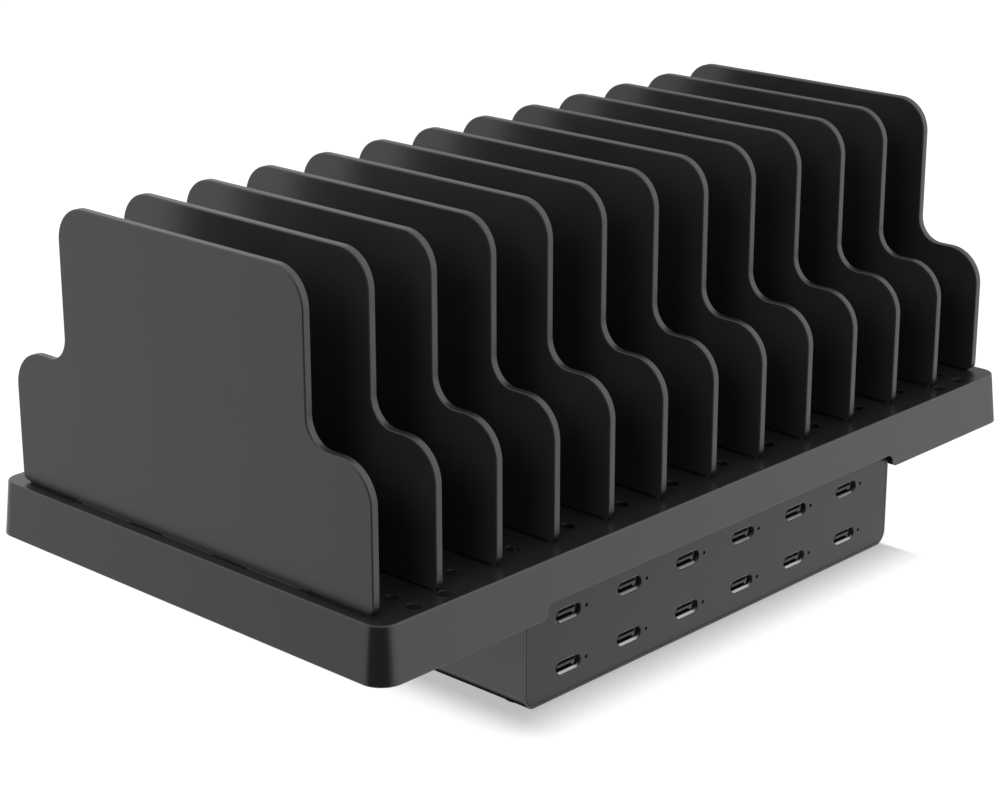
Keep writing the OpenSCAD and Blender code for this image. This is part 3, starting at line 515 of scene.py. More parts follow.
@dataclass(frozen=True)
class Laminate:
    """A circuit board: glass laminate under green mask, with tracks, at a rate per metre, and bare pads."""

    name: str
    mask: Colour = (0.012, 0.075, 0.035)
    track: Colour = (0.03, 0.15, 0.06)
    pad: Colour = (0.65, 0.6, 0.5)
    roughness: float = 0.32
    across_rate: float = 2200.0
    along_rate: float = 1900.0
    across_bend: float = 9 * MM
    along_bend: float = 11 * MM
    wander: float = 30.0
    region_size: float = 7 * MM
    region_band: Pair = (0.48, 0.52)
    track_band: Pair = (0.1, 0.5)
    pad_spacing: float = 3.4 * MM
    pad_band: Pair = (0.13, 0.17)
    pad_share: float = 0.9
    pad_metal: float = 0.8
    pad_haze: float = 0.1
    weave_size: float = 0.4 * MM
    weave_haze: float = 0.12
    heights: Triple = (0.6, 0.4, 0.15)
    relief: float = 0.03 * MM

    def material(self) -> bpy.types.Material:
        """Returns the material."""
        paint = Paint(self.name)
        across = paint.axis(Axis.X) * self.across_rate
        across = (across + paint.noise(self.across_bend, 1.0) * self.wander).wave()
        along = paint.axis(Axis.Y) * self.along_rate + paint.axis(Axis.Z) * self.along_rate
        along = (along + paint.noise(self.along_bend, 1.0) * self.wander).wave()
        region = paint.noise(self.region_size, 0.0).band(*self.region_band)
        tracks = (across * region).most(along * (1.0 - region)).band(*self.track_band)
        pads = 1.0 - paint.cells(self.pad_spacing).band(*self.pad_band)
        weave = paint.noise(self.weave_size, 1.0)
        body = paint.blend(tracks, self.mask, self.track)
        body = paint.blend(pads * self.pad_share, body, self.pad)
        rough = self.roughness + weave * self.weave_haze + pads * self.pad_haze
        of_track, of_pad, of_weave = self.heights
        normal = paint.bump(tracks * of_track + pads * of_pad + weave * of_weave, self.relief)
        return paint.finish(Base_Color=body, Roughness=rough, Metallic=pads * self.pad_metal, Normal=normal)


@dataclass(frozen=True)
class SinteredCore:
    """Ferrite or powder-coated core: dull and pitted."""

    name: str
    colour: Colour
    roughness: float = 0.6
    pit_size: float = 0.5 * MM
    pit_depth: float = 0.03 * MM
    edge: float = 0.2 * MM
    cloud_size: float = 5 * MM
    cloud_shades: Pair = (0.75, 1.3)
    cloud_haze: float = 0.2

    def material(self) -> bpy.types.Material:
        """Returns the material."""
        paint = Paint(self.name)
        pits = paint.cells(self.pit_size).band(0.0, 0.5)
        cloud = paint.noise(self.cloud_size, 4.0)
        dark, light = (shade(self.colour, times) for times in self.cloud_shades)
        body = paint.blend(cloud.band(*NOISE_BAND), dark, light)
        rough = self.roughness + (cloud - 0.5) * self.cloud_haze
        normal = paint.bump(pits, self.pit_depth, self.edge)
        return paint.finish(Base_Color=body, Roughness=rough.clamped(), Normal=normal)


@dataclass(frozen=True)
class WoundWire:
    """Turns of wire or tape, or the cores of a flat cable, side by side along an axis."""

    name: str
    colour: Colour
    pitch: float
    lay: Axis
    roughness: float = 0.35
    metal: float = 0.0
    gap_shade: float = 0.35
    gap_band: Pair = (0.0, 0.6)
    dust_size: float = 3 * MM
    dust_band: Pair = (0.5, 0.8)
    dust_share: float = 0.4
    dust_shade: float = 0.7
    haze: float = 0.15
    crown: float = 0.3

    def material(self) -> bpy.types.Material:
        """Returns the material."""
        paint = Paint(self.name)
        turns = (paint.axis(self.lay) * (2.0 * math.pi / self.pitch)).wave() * 0.5 + 0.5
        dust = paint.noise(self.dust_size, 3.0)
        body = paint.blend(turns.band(*self.gap_band), shade(self.colour, self.gap_shade), self.colour)
        dulled = dust.band(*self.dust_band) * self.dust_share
        body = paint.blend(dulled, body, shade(self.colour, self.dust_shade))
        rough = self.roughness + (dust - 0.5) * self.haze + (1.0 - turns) * self.haze
        normal = paint.bump(turns, self.pitch * self.crown)
        return paint.finish(Base_Color=body, Roughness=rough.clamped(), Metallic=self.metal, Normal=normal)


@dataclass(frozen=True)
class ClearMoulding:
    """Clear acrylic or glass, with a faint haze."""

    name: str
    colour: Colour = (0.93, 0.95, 0.95)
    roughness: float = 0.08
    haze_size: float = 2 * MM
    haze_band: Pair = (0.4, 0.8)
    haze_share: float = 0.3
    haze_shade: float = 0.8
    haze_spread: float = 0.1
    relief: float = 0.01 * MM
    clearness: float = 0.85
    ior: float = 1.49

    def material(self) -> bpy.types.Material:
        """Returns the material."""
        paint = Paint(self.name)
        haze = paint.noise(self.haze_size, 4.0)
        clouded = haze.band(*self.haze_band) * self.haze_share
        body = paint.blend(clouded, self.colour, shade(self.colour, self.haze_shade))
        rough = self.roughness + haze * self.haze_spread
        clear = {"Transmission_Weight": self.clearness, "IOR": self.ior}
        return paint.finish(Base_Color=body, Roughness=rough, Normal=paint.bump(haze, self.relief), **clear)


# The deck's outer rim, past RIM_START, carries a painted highlight line.
RIM_START = (131.5 * MM, 73.0 * MM)
FINISHES = [
    MouldedPlastic("charcoal_abs", (0.018, 0.018, 0.0184), ior=1.6),
    # The deck is the charcoal darkened, painted shade for its top, with a strong painted highlight on its
    # outer rim.
    MouldedPlastic(
        "deck_abs", (0.012, 0.012, 0.0123), wear_and_highlight=0.9, worn_and_highlit_shade=14.0, ior=1.6, spared=RIM_START
    ),
    MouldedPlastic("panel_abs", (0.014, 0.014, 0.0143), 0.34, ior=1.47),
    MouldedPlastic("foot_rubber", (0.012, 0.012, 0.012), 0.75, 0.5 * MM, 0.02 * MM, 0.6),
    WorkedMetal("socket_steel", (0.32, 0.32, 0.315), 0.3),
    MouldedPlastic("black_nylon", (0.012, 0.012, 0.013), 0.5, 0.2 * MM),
    MouldedPlastic("tongue_nylon", (0.05, 0.05, 0.052), 0.4, 0.2 * MM),
    Laminate("board_laminate"),
    MouldedPlastic("lamp_white", (0.7, 0.7, 0.66), 0.3, 0.2 * MM, 0.002 * MM, 0.0),
    ClearMoulding("clear_acrylic"),
    WorkedMetal("turned_brass", (0.72, 0.5, 0.22), 0.3, (1.0, 1.0, 14.0), (0.4, 0.28, 0.14)),
    SinteredCore("ferrite", (0.05, 0.048, 0.05)),
    WoundWire("winding_tape", (0.75, 0.55, 0.06), 5.0 * MM, Axis.X, 0.3),
    MouldedPlastic("capacitor_sleeve", (0.02, 0.03, 0.07), 0.25, 0.6 * MM, 0.004 * MM, 0.2),
    SinteredCore("core_coating", (0.35, 0.33, 0.06), 0.45),
    WoundWire("copper_wire", (0.75, 0.34, 0.16), 1.1 * MM, Axis.X, 0.25, 0.9),
    WorkedMetal("extruded_aluminium", (0.6, 0.61, 0.62), 0.38, (10.0, 1.0, 10.0)),
    ClearMoulding("clear_glass", (0.95, 0.97, 0.96), 0.03),
    WorkedMetal("plated_steel", (0.68, 0.68, 0.66), 0.3),
    MouldedPlastic("rocker_gloss", (0.014, 0.014, 0.015), 0.2, 0.5 * MM, 0.002 * MM, 0.4),
    MouldedPlastic("wire_pvc", (0.11, 0.04, 0.02), 0.4, 0.3 * MM),
    WoundWire("ribbon_pvc", (0.3, 0.3, 0.31), 1.27 * MM, Axis.X, 0.45),
    MouldedPlastic("white_nylon", (0.6, 0.58, 0.52), 0.45, 0.3 * MM),
    WorkedMetal("zinc_screw", (0.62, 0.62, 0.6), 0.35, (6.0, 6.0, 6.0)),
]


class Palette:
    """The finishes, each made once."""

    def __init__(self) -> None:
        """Starts with no material made."""
        self.finishes = {finish.name: finish for finish in FINISHES}
        self.made: dict[str, bpy.types.Material] = {}

    def get(self, name: str) -> bpy.types.Material:
        """Returns the material of a finish.

        Args:
            name: The finish's name.

        Returns:
            The material.
        """
        if name not in self.made:
            self.made[name] = self.finishes[name].material()
        return self.made[name]

    def dress(self, piece: bpy.types.Object, slot: str, finish: str = "") -> None:
        """Gives a piece its finish.

        Args:
            piece: The piece.
            slot: The record's material slot.
            finish: The finish's name, where it isn't the slot's.
        """
        material = self.get(finish or slot)
        if not piece.material_slots:
            piece.data.materials.append(material)
        for place in piece.material_slots:
            place.material = material


PALETTE = Palette()


# Mesh helpers

WELD_DISTANCE = 3e-6
LEVEL_DISTANCE = 1e-5
TINY = 1e-9
FLAT_ANGLE = math.radians(0.3)
RIM_ANGLE = math.radians(40)
SHARP_ANGLE = math.radians(50)
SMOOTH_DEGREES = 32.0
COPY_SMOOTH_DEGREES = 40.0
RIM_ZONE = 3.0 * MM
RIM_STEPS = 4
EDGE_STEPS = 2
SLAB_STEPS = 4


def add_piece(
    name: str, bm: bmesh.types.BMesh, body: str, smooth_below: float = SMOOTH_DEGREES
) -> bpy.types.Object:
    """Turns a mesh under construction into a piece.

    Args:
        name: The piece's name.
        bm: The mesh, which is freed.
        body: The body that the piece moves with.
        smooth_below: Edges flatter than this angle, in degrees, are shaded smooth.

    Returns:
        The piece.
    """
    mesh = bpy.data.meshes.new(name)
    bmesh.ops.recalc_face_normals(bm, faces=bm.faces)
    bm.to_mesh(mesh)
    bm.free()
    mesh.shade_smooth()
    mesh.set_sharp_from_angle(angle=math.radians(smooth_below))
    piece = bpy.data.objects.new(name, mesh)
    bpy.context.scene.collection.objects.link(piece)
    weighted = piece.modifiers.new("even_normals", "WEIGHTED_NORMAL")
    weighted.keep_sharp = True
    weighted.weight = 100
    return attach(piece, body)


def bends(edge: bmesh.types.BMEdge, angle: float) -> bool:
    """Returns whether the two faces at an edge meet at more than an angle.

    Args:
        edge: The edge.
        angle: The angle, in radians.

    Returns:
        Whether they do.
    """
    return len(edge.link_faces) == 2 and edge.calc_face_angle(0.0) > angle


def on_rim(edge: bmesh.types.BMEdge, low: Vector, high: Vector) -> bool:
    """Returns whether an edge lies in the outer zone of a box's top.

    Args:
        edge: The edge.
        low: The box's lowest corner.
        high: Its highest corner.

    Returns:
        Whether it does.
    """
    points = [vert.co for vert in edge.verts]
    level = all(abs(p.z - high.z) < LEVEL_DISTANCE for p in points)
    return level and all(min(p.x - low.x, high.x - p.x, p.y - low.y, high.y - p.y) < RIM_ZONE for p in points)


def round_edges(bm: bmesh.types.BMesh, edges: list, radius: float, steps: int, clamp: bool) -> None:
    """Rounds edges of a mesh.

    Args:
        bm: The mesh.
        edges: The edges.
        radius: The radius of the rounding.
        steps: How many faces it has.
        clamp: Whether it stops where it would run into another.
    """
    bmesh.ops.bevel(
        bm, geom=edges, offset=radius, offset_type="OFFSET", segments=steps, profile=0.5, affect="EDGES",
        clamp_overlap=clamp,
    )


def soften(node: str, name: str, width: float, rim: float = 0.0) -> bpy.types.Object:
    """Copies the mesh of one of the rack's CAD nodes with its sharp edges broken.

    Args:
        node: The CAD node, which the copy replaces.
        name: The copy's name.
        width: The width of the broken edges, in metres.
        rim: A wider rounding for the outer edge of the top, in metres.

    Returns:
        The copy.
    """
    bm = bmesh.new()
    bm.from_mesh(frame["nodes"][node].data)
    bmesh.ops.remove_doubles(bm, verts=bm.verts, dist=WELD_DISTANCE)
    bmesh.ops.dissolve_limit(bm, angle_limit=FLAT_ANGLE, verts=bm.verts, edges=bm.edges)
    low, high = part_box(node)
    if rim:
        outer = [edge for edge in bm.edges if on_rim(edge, low, high) and bends(edge, RIM_ANGLE)]
        round_edges(bm, outer, rim, RIM_STEPS, False)
    sharp = [edge for edge in bm.edges if bends(edge, SHARP_ANGLE)]
    round_edges(bm, sharp, width, EDGE_STEPS, True)
    piece = add_piece(name, bm, RACK, COPY_SMOOTH_DEGREES)
    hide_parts(node)
    return piece


def arc(centre: Pair, radius: float, start: float, end: float, steps: int) -> Outline:
    """Returns the points of an arc, both ends included.

    Args:
        centre: The arc's centre.
        radius: Its radius.
        start: Its first angle, in degrees.
        end: Its last angle, in degrees.
        steps: How many pieces it has.

    Returns:
        The points.
    """
    points = []
    for step in range(steps + 1):
        angle = math.radians(start + (end - start) * step / steps)
        points.append((centre[0] + radius * math.cos(angle), centre[1] + radius * math.sin(angle)))
    return points


def inset(outline: Outline, amount: float) -> Outline:
    """Returns an outline drawn in by an amount, its corners mitred.

    Args:
        outline: The points, anticlockwise.
        amount: How far they move inwards.

    Returns:
        The new points.
    """
    moved = []
    count = len(outline)
    for index, (x, y) in enumerate(outline):
        before, after = outline[index - 1], outline[(index + 1) % count]
        first = Vector((x - before[0], y - before[1])).normalized()
        second = Vector((after[0] - x, after[1] - y)).normalized()
        left = Vector((-first.y - second.y, first.x + second.x))
        left /= max(left.length_squared / 2.0, TINY)
        moved.append((x + left.x * amount, y + left.y * amount))
    return moved


def bridge(bm: bmesh.types.BMesh, near: list, far: list) -> None:
    """Adds the faces between two rings with as many points.

    Args:
        bm: The mesh under construction.
        near: One ring's points.
        far: The other's.
    """
    for index in range(len(near)):
        other = (index + 1) % len(near)
        bm.faces.new((near[index], near[other], far[other], far[index]))


def slab(bm: bmesh.types.BMesh, outline: Outline, middle: float, thickness: float, radius: float) -> None:
    """Adds a flat plate with rounded edges, its outline in Y and Z.

    Args:
        bm: The mesh under construction.
        outline: The outline, anticlockwise, in metres.
        middle: The middle of its thickness, along X.
        thickness: Its thickness.
        radius: The radius of its edges.
    """
    x0, x1 = middle - thickness / 2, middle + thickness / 2
    turn = [math.pi / 2 * step / SLAB_STEPS for step in range(SLAB_STEPS + 1)]
    levels = [(x0 + radius * (1 - math.cos(a)), radius * (1 - math.sin(a))) for a in turn]
    levels += [(x1 - radius * (1 - math.cos(a)), radius * (1 - math.sin(a))) for a in reversed(turn)]
    rings = [[bm.verts.new((x, y, z)) for y, z in inset(outline, amount)] for x, amount in levels]
    for near, far in zip(rings, rings[1:]):
        bridge(bm, near, far)
    bm.faces.new(rings[0])
    bm.faces.new(rings[-1])


# The rack's parts


@dataclass
class DividerRow:
    """Thirteen upright plates with a stepped outline that stand in the deck's slots."""

    count: int = 13
    pitch: float = 21.5 * MM
    thickness: float = 2.4 * MM
    half_depth: float = 68.9 * MM
    height: float = 82.2 * MM
    shoulder_height: float = 38.5 * MM
    shoulder_width: float = 22.1 * MM
    crown_radius: float = 10.0 * MM
    shoulder_radius: float = 10.7 * MM
    throat_radius: float = 7.4 * MM
    heel_radius: float = 2.0 * MM
    relief_height: float = 0.5 * MM
    relief_length: float = 23.0 * MM
    web_thickness: float = 0.9 * MM
    tab_length: float = 20.0 * MM
    tab_depth: float = 7.0 * MM
    tab_pitch: float = 33.0 * MM
    tab_chamfer: float = 0.9 * MM
    tab_rise: float = 0.2 * MM
    foot_z: float = 42.95 * MM
    edge_radius: float = 0.42 * MM
    tab_edge_radius: float = 0.15 * MM
    web_edge_radius: float = 0.05 * MM
    heel_steps: int = 8
    throat_steps: int = 18
    crown_steps: int = 22
    pieces: list = field(default_factory=list)

    def outline(self) -> Outline:
        """Returns the plate's outline in Y and Z, anticlockwise."""
        half, base = self.half_depth, self.foot_z
        crown = half - self.shoulder_width
        side = [(half - self.relief_length, base), (half - self.relief_length, base + self.relief_height)]
        heel = (half - self.heel_radius, base + self.relief_height + self.heel_radius)
        side += arc(heel, self.heel_radius, -90, 0, self.heel_steps)
        shoulder = (half - self.shoulder_radius, base + self.shoulder_height - self.shoulder_radius)
        side += arc(shoulder, self.shoulder_radius, 0, 90, self.crown_steps)
        throat = (crown + self.throat_radius, base + self.shoulder_height + self.throat_radius)
        side += arc(throat, self.throat_radius, 270, 180, self.throat_steps)
        top = (crown - self.crown_radius, base + self.height - self.crown_radius)
        side += arc(top, self.crown_radius, 0, 90, self.crown_steps)
        return side + [(-y, z) for y, z in reversed(side)]

    def tab(self, middle: float) -> Outline:
        """Returns the outline of a tab in Y and Z, anticlockwise.

        Args:
            middle: The tab's middle, along Y.

        Returns:
            The points.
        """
        y0 = middle - self.tab_length / 2
        y1 = y0 + self.tab_length
        low, top, cut = self.foot_z - self.tab_depth, self.foot_z + self.tab_rise, self.tab_chamfer
        return [(y0 + cut, low), (y1 - cut, low), (y1, low + cut), (y1, top), (y0, top), (y0, low + cut)]

    def web(self) -> Outline:
        """Returns the outline of the thin web that fills the relief, in Y and Z, anticlockwise."""
        reach, top = self.half_depth - self.heel_radius, self.foot_z + self.relief_height + self.edge_radius
        return [(-reach, self.foot_z), (reach, self.foot_z), (reach, top), (-reach, top)]

    def build(self) -> None:
        """Makes the plates with their tabs and webs."""
        outline, web = self.outline(), self.web()
        for index in range(self.count):
            x = (index - (self.count - 1) / 2) * self.pitch
            name = f"divider_{index + 1:02d}"
            bm = bmesh.new()
            slab(bm, outline, x, self.thickness, self.edge_radius)
            for place in (-1, 0, 1):
                slab(bm, self.tab(place * self.tab_pitch), x, self.thickness, self.tab_edge_radius)
            slab(bm, web, x, self.web_thickness, self.web_edge_radius)
            piece = add_piece(f"{name}_plate", bm, f"{name}_body")
            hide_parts(name)
            self.pieces.append(piece)

    def dress(self) -> None:
        """Gives the plates their finish."""
        for piece in self.pieces:
            PALETTE.dress(piece, "charcoal_abs")


@dataclass
class Deck:
    """The slotted deck with its leaning skirt."""

    rim: float = 0.4 * MM
    edge: float = 0.1 * MM
    pieces: list = field(default_factory=list)

    def build(self) -> None:
        """Makes the deck with a rounded rim."""
        self.pieces.append(soften("deck", "deck_moulding", self.edge, rim=self.rim))

    def dress(self) -> None:
        """Gives the deck its finish."""
        for piece in self.pieces:
            PALETTE.dress(piece, "charcoal_abs", "deck_abs")


@dataclass
class Housing:
    """The charger housing: sleeve, front and rear panels, bottom cover and feet."""

    edge: float = 0.12 * MM
    panel_edge: float = 0.1 * MM
    pieces: dict = field(default_factory=dict)

    def build(self) -> None:
        """Makes the shells with their edges broken."""
        self.pieces["sleeve"] = soften("housing_shell", "housing_sleeve", self.edge)
        self.pieces["front"] = soften("front_panel", "front_fascia", self.panel_edge)
        self.pieces["rear"] = soften("rear_panel", "rear_plate", self.panel_edge)
        self.pieces["cover"] = soften("bottom_cover", "base_plate", self.panel_edge)

    def dress(self) -> None:
        """Gives each shell and foot its finish."""
        for role, piece in self.pieces.items():
            PALETTE.dress(piece, "panel_abs" if role == "front" else "charcoal_abs")
        for corner in ("front_left", "front_right", "rear_left", "rear_right"):
            PALETTE.dress(frame["nodes"][f"foot_{corner}"], "foot_rubber")


@dataclass
class SocketRows:
    """Twelve receptacles in two rows: drawn metal shells whose mouths flare out to the panel's openings."""

    per_row: int = 6
    pitch: float = 24.45 * MM
    shift: float = -2.05 * MM
    low_z: float = 9.2 * MM
    row_gap: float = 14.7 * MM
    mouth_y: float = -71.7 * MM
    length: float = 9.0 * MM
    shell: Pair = (8.94 * MM, 3.26 * MM)
    bore: Pair = (8.34 * MM, 2.66 * MM)
    mouth: Pair = (9.82 * MM, 3.95 * MM)
    mouth_length: float = 1.8 * MM
    recess_side: float = 0.16 * MM
    recess_depth: float = 1.6 * MM
    funnel_depth: float = 0.62 * MM
    lip: float = 0.08 * MM
    end_steps: int = 16
    pieces: list = field(default_factory=list)

    def ring(self, size: Pair, less: float = 0.0) -> Outline:
        """Returns an oval's outline in X and Z.

        Args:
            size: The oval's width and height.
            less: How much it is drawn in on each side.

        Returns:
            The points, round the oval.
        """
        width, height = size[0] - 2 * less, size[1] - 2 * less
        side = (width - height) / 2
        right = arc((side, 0.0), height / 2, -90, 90, self.end_steps)
        return right + arc((-side, 0.0), height / 2, 90, 270, self.end_steps)

    def build(self) -> None:
        """Makes the shells."""
        back = self.mouth_y + self.length
        recess = (self.mouth[0] - 2 * self.recess_side, self.bore[1])
        levels = [
            (self.ring(self.shell), back),
            (self.ring(self.shell), self.mouth_y + self.mouth_length),
            (self.ring(self.mouth), self.mouth_y + self.mouth_length),
            (self.ring(self.mouth), self.mouth_y + self.lip),
            (self.ring(self.mouth, self.lip / 3), self.mouth_y + self.lip / 3),
            (self.ring(self.mouth, self.lip), self.mouth_y),
            (self.ring(recess, -self.lip / 2), self.mouth_y + self.funnel_depth - self.lip / 2),
            (self.ring(recess), self.mouth_y + self.funnel_depth + self.lip),
            (self.ring(recess), self.mouth_y + self.recess_depth),
            (self.ring(self.bore), self.mouth_y + self.recess_depth + self.lip),
            (self.ring(self.bore), back),
        ]
        for number in range(2 * self.per_row):
            row, place = divmod(number, self.per_row)
            x = self.shift + (place - (self.per_row - 1) / 2) * self.pitch
            z = self.low_z + row * self.row_gap
            bm = bmesh.new()
            rings = [[bm.verts.new((x + px, y, z + pz)) for px, pz in outline] for outline, y in levels]
            for near, far in zip(rings, rings[1:] + rings[:1]):
                bridge(bm, near, far)
            name = f"socket_{number + 1:02d}"
            piece = add_piece(f"{name}_shell", bm, RACK)
            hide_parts(name)
            self.pieces.append(piece)

    def dress(self) -> None:
        """Gives the shells their finish."""
        for piece in self.pieces:
            PALETTE.dress(piece, "socket_steel")


@dataclass
class CarriedParts:
    """CAD nodes whose shape is already the real one, and which only take a finish."""

    finishes: dict[str, str]

    def build(self) -> None:
        """Makes nothing: the nodes come with the frame."""

    def dress(self) -> None:
        """Gives each node its finish."""
        for node, slot in self.finishes.items():
            PALETTE.dress(frame["nodes"][node], slot)


# The studio


@dataclass
class PhotoCamera:
    """The camera at the photograph's viewpoint."""

    place: Triple = (-0.50922, -0.46619, 0.28493)
    yaw: float = 0.817133
    pitch: float = 0.328284
    roll: float = -0.0020536
    lens: float = 89.92
    sensor: float = 36.0
    nearest: float = 0.01

    def build(self) -> None:
        """Makes the camera."""
        data = bpy.data.cameras.new("photo_camera")
        data.lens = self.lens
        data.sensor_width = self.sensor
        data.sensor_fit = "HORIZONTAL"
        data.clip_start = self.nearest
        camera = bpy.data.objects.new("photo_camera", data)
        level = math.cos(self.pitch)
        ahead = Vector((math.sin(self.yaw) * level, math.cos(self.yaw) * level, -math.sin(self.pitch)))
        right = Vector((math.cos(self.yaw), -math.sin(self.yaw), 0.0))
        up = right.cross(ahead)
        c, s = math.cos(self.roll), math.sin(self.roll)
        across, upward = c * right + s * up, -s * right + c * up
        turn = Matrix((across, upward, -ahead)).transposed().to_4x4()
        camera.matrix_world = Matrix.Translation(self.place) @ turn
        bpy.context.scene.collection.objects.link(camera)
        bpy.context.scene.camera = camera


@dataclass(frozen=True)
class SoftLamp:
    """A round lamp, its diameter in metres and its power in watts."""

    name: str
    place: Triple
    target: Triple
    size: float
    watts: float

    def build(self) -> None:
        """Makes the lamp, which reflections don't show."""
        data = bpy.data.lights.new(f"lamp_{self.name}", "AREA")
        data.energy = self.watts
        data.shape = "DISK"
        data.size = self.size
        lamp = bpy.data.objects.new(f"lamp_{self.name}", data)
        lamp.location = self.place
        lamp.rotation_euler = (Vector(self.target) - Vector(self.place)).to_track_quat("-Z", "Y").to_euler()
        lamp.visible_glossy = False
        bpy.context.scene.collection.objects.link(lamp)


@dataclass
class Studio:
    """Pale floor, white surroundings and soft lamps.

    The floor's shadow is painted: it follows the distance from the housing's footprint, which is its half
    width, its half depth and its middle along Y. To the left, right and front that distance counts haste
    times, and the painted shadow fades out over shade. In reflections the floor is glossy, painted dark along
    the housing's foot, but beside the housing, within the shelter's half width and front, it glows, a painted
    light. The surroundings are brighter in reflections toward the window and dimmer toward the dusk. The card
    stands on an arc and fades along X.
    """

    fill: float = 0.42
    floor_colour: Colour = (0.14, 0.14, 0.14)
    floor_gloss: float = 0.86
    floor_roughness: float = 0.15
    floor_reach: float = 3.0
    floor_squares: int = 8
    # Painted floor shadows and light: reflections see the floor dark within this reach of the footprint; the
    # camera sees it dimmed to shaded_glow there, fading out over shade; under the deck reflections see it
    # glowing at shelter_glow.
    painted_contact_shade: float = 3.0 * MM
    shaded_glow: float = 0.45
    shade: Pair = (-3.0 * MM, 18.0 * MM)
    footprint: Triple = (80.2 * MM, 68.0 * MM, -3.8 * MM)
    haste: Triple = (1.12, 8.0, 0.85)
    shelter: Pair = (140.0 * MM, -78.0 * MM)
    shelter_fade: float = 8.0 * MM
    shelter_glow: float = 1.1
    window: Triple = (0.729, -0.684, 0.0)
    window_band: Pair = (0.25, 0.8)
    window_gain: float = 0.5
    dusk: Triple = (0.966, 0.259, 0.0)
    dusk_band: Pair = (0.72, 0.93)
    dusk_depth: float = 0.65
    card_centre: Pair = (-130.2 * MM, -71.5 * MM)
    card_angles: Pair = (156.0, 280.0)
    card_steps: int = 24
    card_fade: Pair = (-0.33, 0.0)
    card_distance: float = 0.55
    card_height: float = 0.8
    lamps: tuple[SoftLamp, ...] = (
        SoftLamp("overhead", (0.0, -0.15, 1.3), (0.0, 0.0, 0.0), 1.3, 6.0),
        SoftLamp("left", (-1.3, -0.2, 0.9), (0.0, 0.0, 0.05), 0.9, 11.0),
    )

    def seen(self, paint: Paint) -> Wire:
        """Returns 1 for rays that see the surroundings as white.

        Args:
            paint: The material that asks.

        Returns:
            The mask.
        """
        return self.rays(paint, Ray.CAMERA).most(self.mirrored(paint))

    def mirrored(self, paint: Paint) -> Wire:
        """Returns 1 for rays that come by way of a gloss or through something clear.

        Args:
            paint: The material that asks.

        Returns:
            The mask.
        """
        return self.rays(paint, Ray.GLOSSY).most(self.rays(paint, Ray.TRANSMISSION))

    def rays(self, paint: Paint, kind: Ray) -> Wire:
        """Returns 1 for one kind of ray.

        Args:
            paint: The material that asks.
            kind: The kind of ray.

        Returns:
            The mask.
        """
        return paint.node("ShaderNodeLightPath", {}, {}, kind.value)

    def stage_piece(self, name: str, bm: bmesh.types.BMesh, material: bpy.types.Material) -> bpy.types.Object:
        """Adds one piece of the stage.

        Args:
            name: Its name.
            bm: Its mesh, which is freed.
            material: Its material.

        Returns:
            The piece.
        """
        mesh = bpy.data.meshes.new(name)
        bm.to_mesh(mesh)
        bm.free()
        mesh.materials.append(material)
        piece = bpy.data.objects.new(name, mesh)
        bpy.context.scene.collection.objects.link(piece)
        return piece

    def build_floor(self) -> None:
        """Makes the floor: glossy and white, with a painted shadow that is deepest along the housing's foot.
        """
        paint = Paint("studio_floor")
        half_width, half_depth, middle = self.footprint
        left, right, front = self.haste
        beyond_left = (-paint.axis(Axis.X) - half_width) * left
        beside = beyond_left.most((paint.axis(Axis.X) - half_width) * right).most(0.0)
        before = ((paint.axis(Axis.Y) - middle).size() - half_depth).most(0.0) * front
        away = (beside * beside + before * before).root()
        # Painted shadow: the floor is dimmer to the camera nearer the housing's footprint.
        painted_floor_light = away.band(*self.shade) * (1.0 - self.shaded_glow) + self.shaded_glow
        sheltered = (self.shelter[0] - paint.axis(Axis.X).size()).band(0.0, self.shelter_fade)
        sheltered = sheltered * (paint.axis(Axis.Y) - self.shelter[1]).band(0.0, self.shelter_fade)
        wall_fade = self.shelter_fade / 4
        sheltered = sheltered * (paint.axis(Axis.X).size() - half_width).band(-wall_fade, wall_fade)
        mirrored = self.mirrored(paint)
        # Painted shadow in reflections along the housing's foot, and painted light under the deck.
        painted_contact_shade = away.band(0.0, self.painted_contact_shade)
        strength = self.rays(paint, Ray.CAMERA) * painted_floor_light + mirrored * painted_contact_shade * self.shelter_glow
        diffuse = paint.node("ShaderNodeBsdfDiffuse", {}, {"Color": self.floor_colour}, 0, Kind.SHADER)
        light = paint.node("ShaderNodeEmission", {}, {"Color": strength}, 0, Kind.SHADER)
        matt = paint.node("ShaderNodeAddShader", {}, {0: diffuse, 1: light}, 0, Kind.SHADER)
        sheen = {"Base Color": painted_contact_shade * self.floor_gloss, "Metallic": 1.0, "Roughness": self.floor_roughness}
        gloss = paint.node("ShaderNodeBsdfPrincipled", {}, sheen, 0, Kind.SHADER)
        both = {0: mirrored * (1.0 - sheltered), 1: matt, 2: gloss}
        material = paint.surface(paint.node("ShaderNodeMixShader", {}, both, 0, Kind.SHADER))
        bm = bmesh.new()
        squares = self.floor_squares
        bmesh.ops.create_grid(bm, x_segments=squares, y_segments=squares, size=self.floor_reach)
        self.stage_piece("studio_floor", bm, material)

    def build_card(self) -> None:
        """Makes the dark card that stands round the camera's side, which the upright corners mirror."""
        paint = Paint("studio_card")
        lit = {"Color": paint.axis(Axis.X).band(*self.card_fade)}
        dark = paint.surface(paint.node("ShaderNodeEmission", {}, lit, 0, Kind.SHADER))
        bm = bmesh.new()
        rim = arc(self.card_centre, self.card_distance, *self.card_angles, self.card_steps)
        low, high = ([bm.verts.new((x, y, z)) for x, y in rim] for z in (0.0, self.card_height))
        for index in range(len(rim) - 1):
            bm.faces.new((low[index], low[index + 1], high[index + 1], high[index]))
        card = self.stage_piece("studio_card", bm, dark)
        card.visible_camera = card.visible_diffuse = card.visible_shadow = card.visible_transmission = False

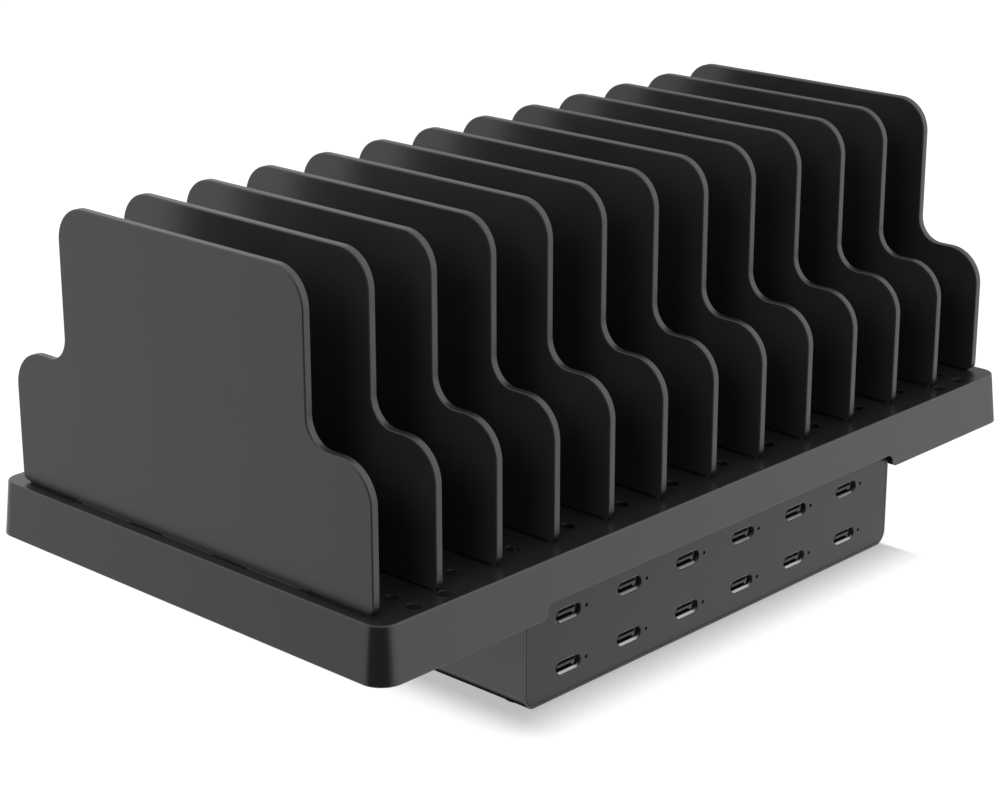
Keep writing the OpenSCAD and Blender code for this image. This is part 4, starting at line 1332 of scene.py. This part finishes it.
    def build_world(self) -> None:
        """Makes the surroundings: white to the camera and in reflections, softer as light."""
        paint = Paint("studio_world", of_world=True)
        window = paint.heading(self.window).band(*self.window_band)
        dusk = paint.heading(self.dusk).band(*self.dusk_band)
        mirrored = self.mirrored(paint)
        strength = self.seen(paint) * (1.0 - self.fill) + self.fill + mirrored * window * self.window_gain
        strength = strength * (1.0 - mirrored * dusk * self.dusk_depth)
        light = paint.node("ShaderNodeBackground", {}, {"Color": strength}, 0, Kind.SHADER)
        bpy.context.scene.world = paint.surface(light)

    def build(self) -> None:
        """Makes the whole studio."""
        bpy.context.scene.view_settings.view_transform = "Standard"
        self.build_floor()
        self.build_card()
        self.build_world()
        for lamp in self.lamps:
            lamp.build()


def write_sizes() -> None:
    """Updates the view layer."""
    bpy.context.view_layer.update()


# Nodes that keep their shape, with their finishes

SOCKET_BOARD = {
    "socket_tongues": "tongue_nylon",
    "socket_board": "board_laminate",
    "indicator_lamps": "lamp_white",
    "light_pipes": "clear_acrylic",
}
MAIN_BOARD = {
    "main_board": "board_laminate",
    "board_standoffs": "turned_brass",
    "transformer_core": "ferrite",
    "transformer_winding": "winding_tape",
    "bulk_capacitors": "capacitor_sleeve",
    "choke_core": "core_coating",
    "choke_winding": "copper_wire",
    "heat_sink_left": "extruded_aluminium",
    "heat_sink_right": "extruded_aluminium",
    "power_transistors": "black_nylon",
    "fuse": "clear_glass",
    "fuse_clips": "plated_steel",
    "harness_connectors": "white_nylon",
    "board_harness": "ribbon_pvc",
    "mains_wires": "wire_pvc",
}
MAINS_ENTRY = {
    "inlet_body": "black_nylon",
    "inlet_pins": "plated_steel",
    "switch_frame": "black_nylon",
    "switch_rocker": "rocker_gloss",
}
FASTENERS = {"deck_screws": "zinc_screw", "case_screws": "zinc_screw", "board_screws": "zinc_screw"}


def main() -> None:
    """Builds the studio and the rack, part by part."""
    PhotoCamera().build()
    Studio().build()
    LOG.info("camera and studio")
    assemblies = [
        ("dividers", DividerRow()),
        ("deck", Deck()),
        ("housing", Housing()),
        ("sockets", SocketRows()),
        ("socket board", CarriedParts(SOCKET_BOARD)),
        ("main board", CarriedParts(MAIN_BOARD)),
        ("mains entry", CarriedParts(MAINS_ENTRY)),
        ("fasteners", CarriedParts(FASTENERS)),
    ]
    for title, assembly in assemblies:
        assembly.build()
        assembly.dress()
        LOG.info("%s", title)
    write_sizes()


if __name__ == "__main__":
    main()
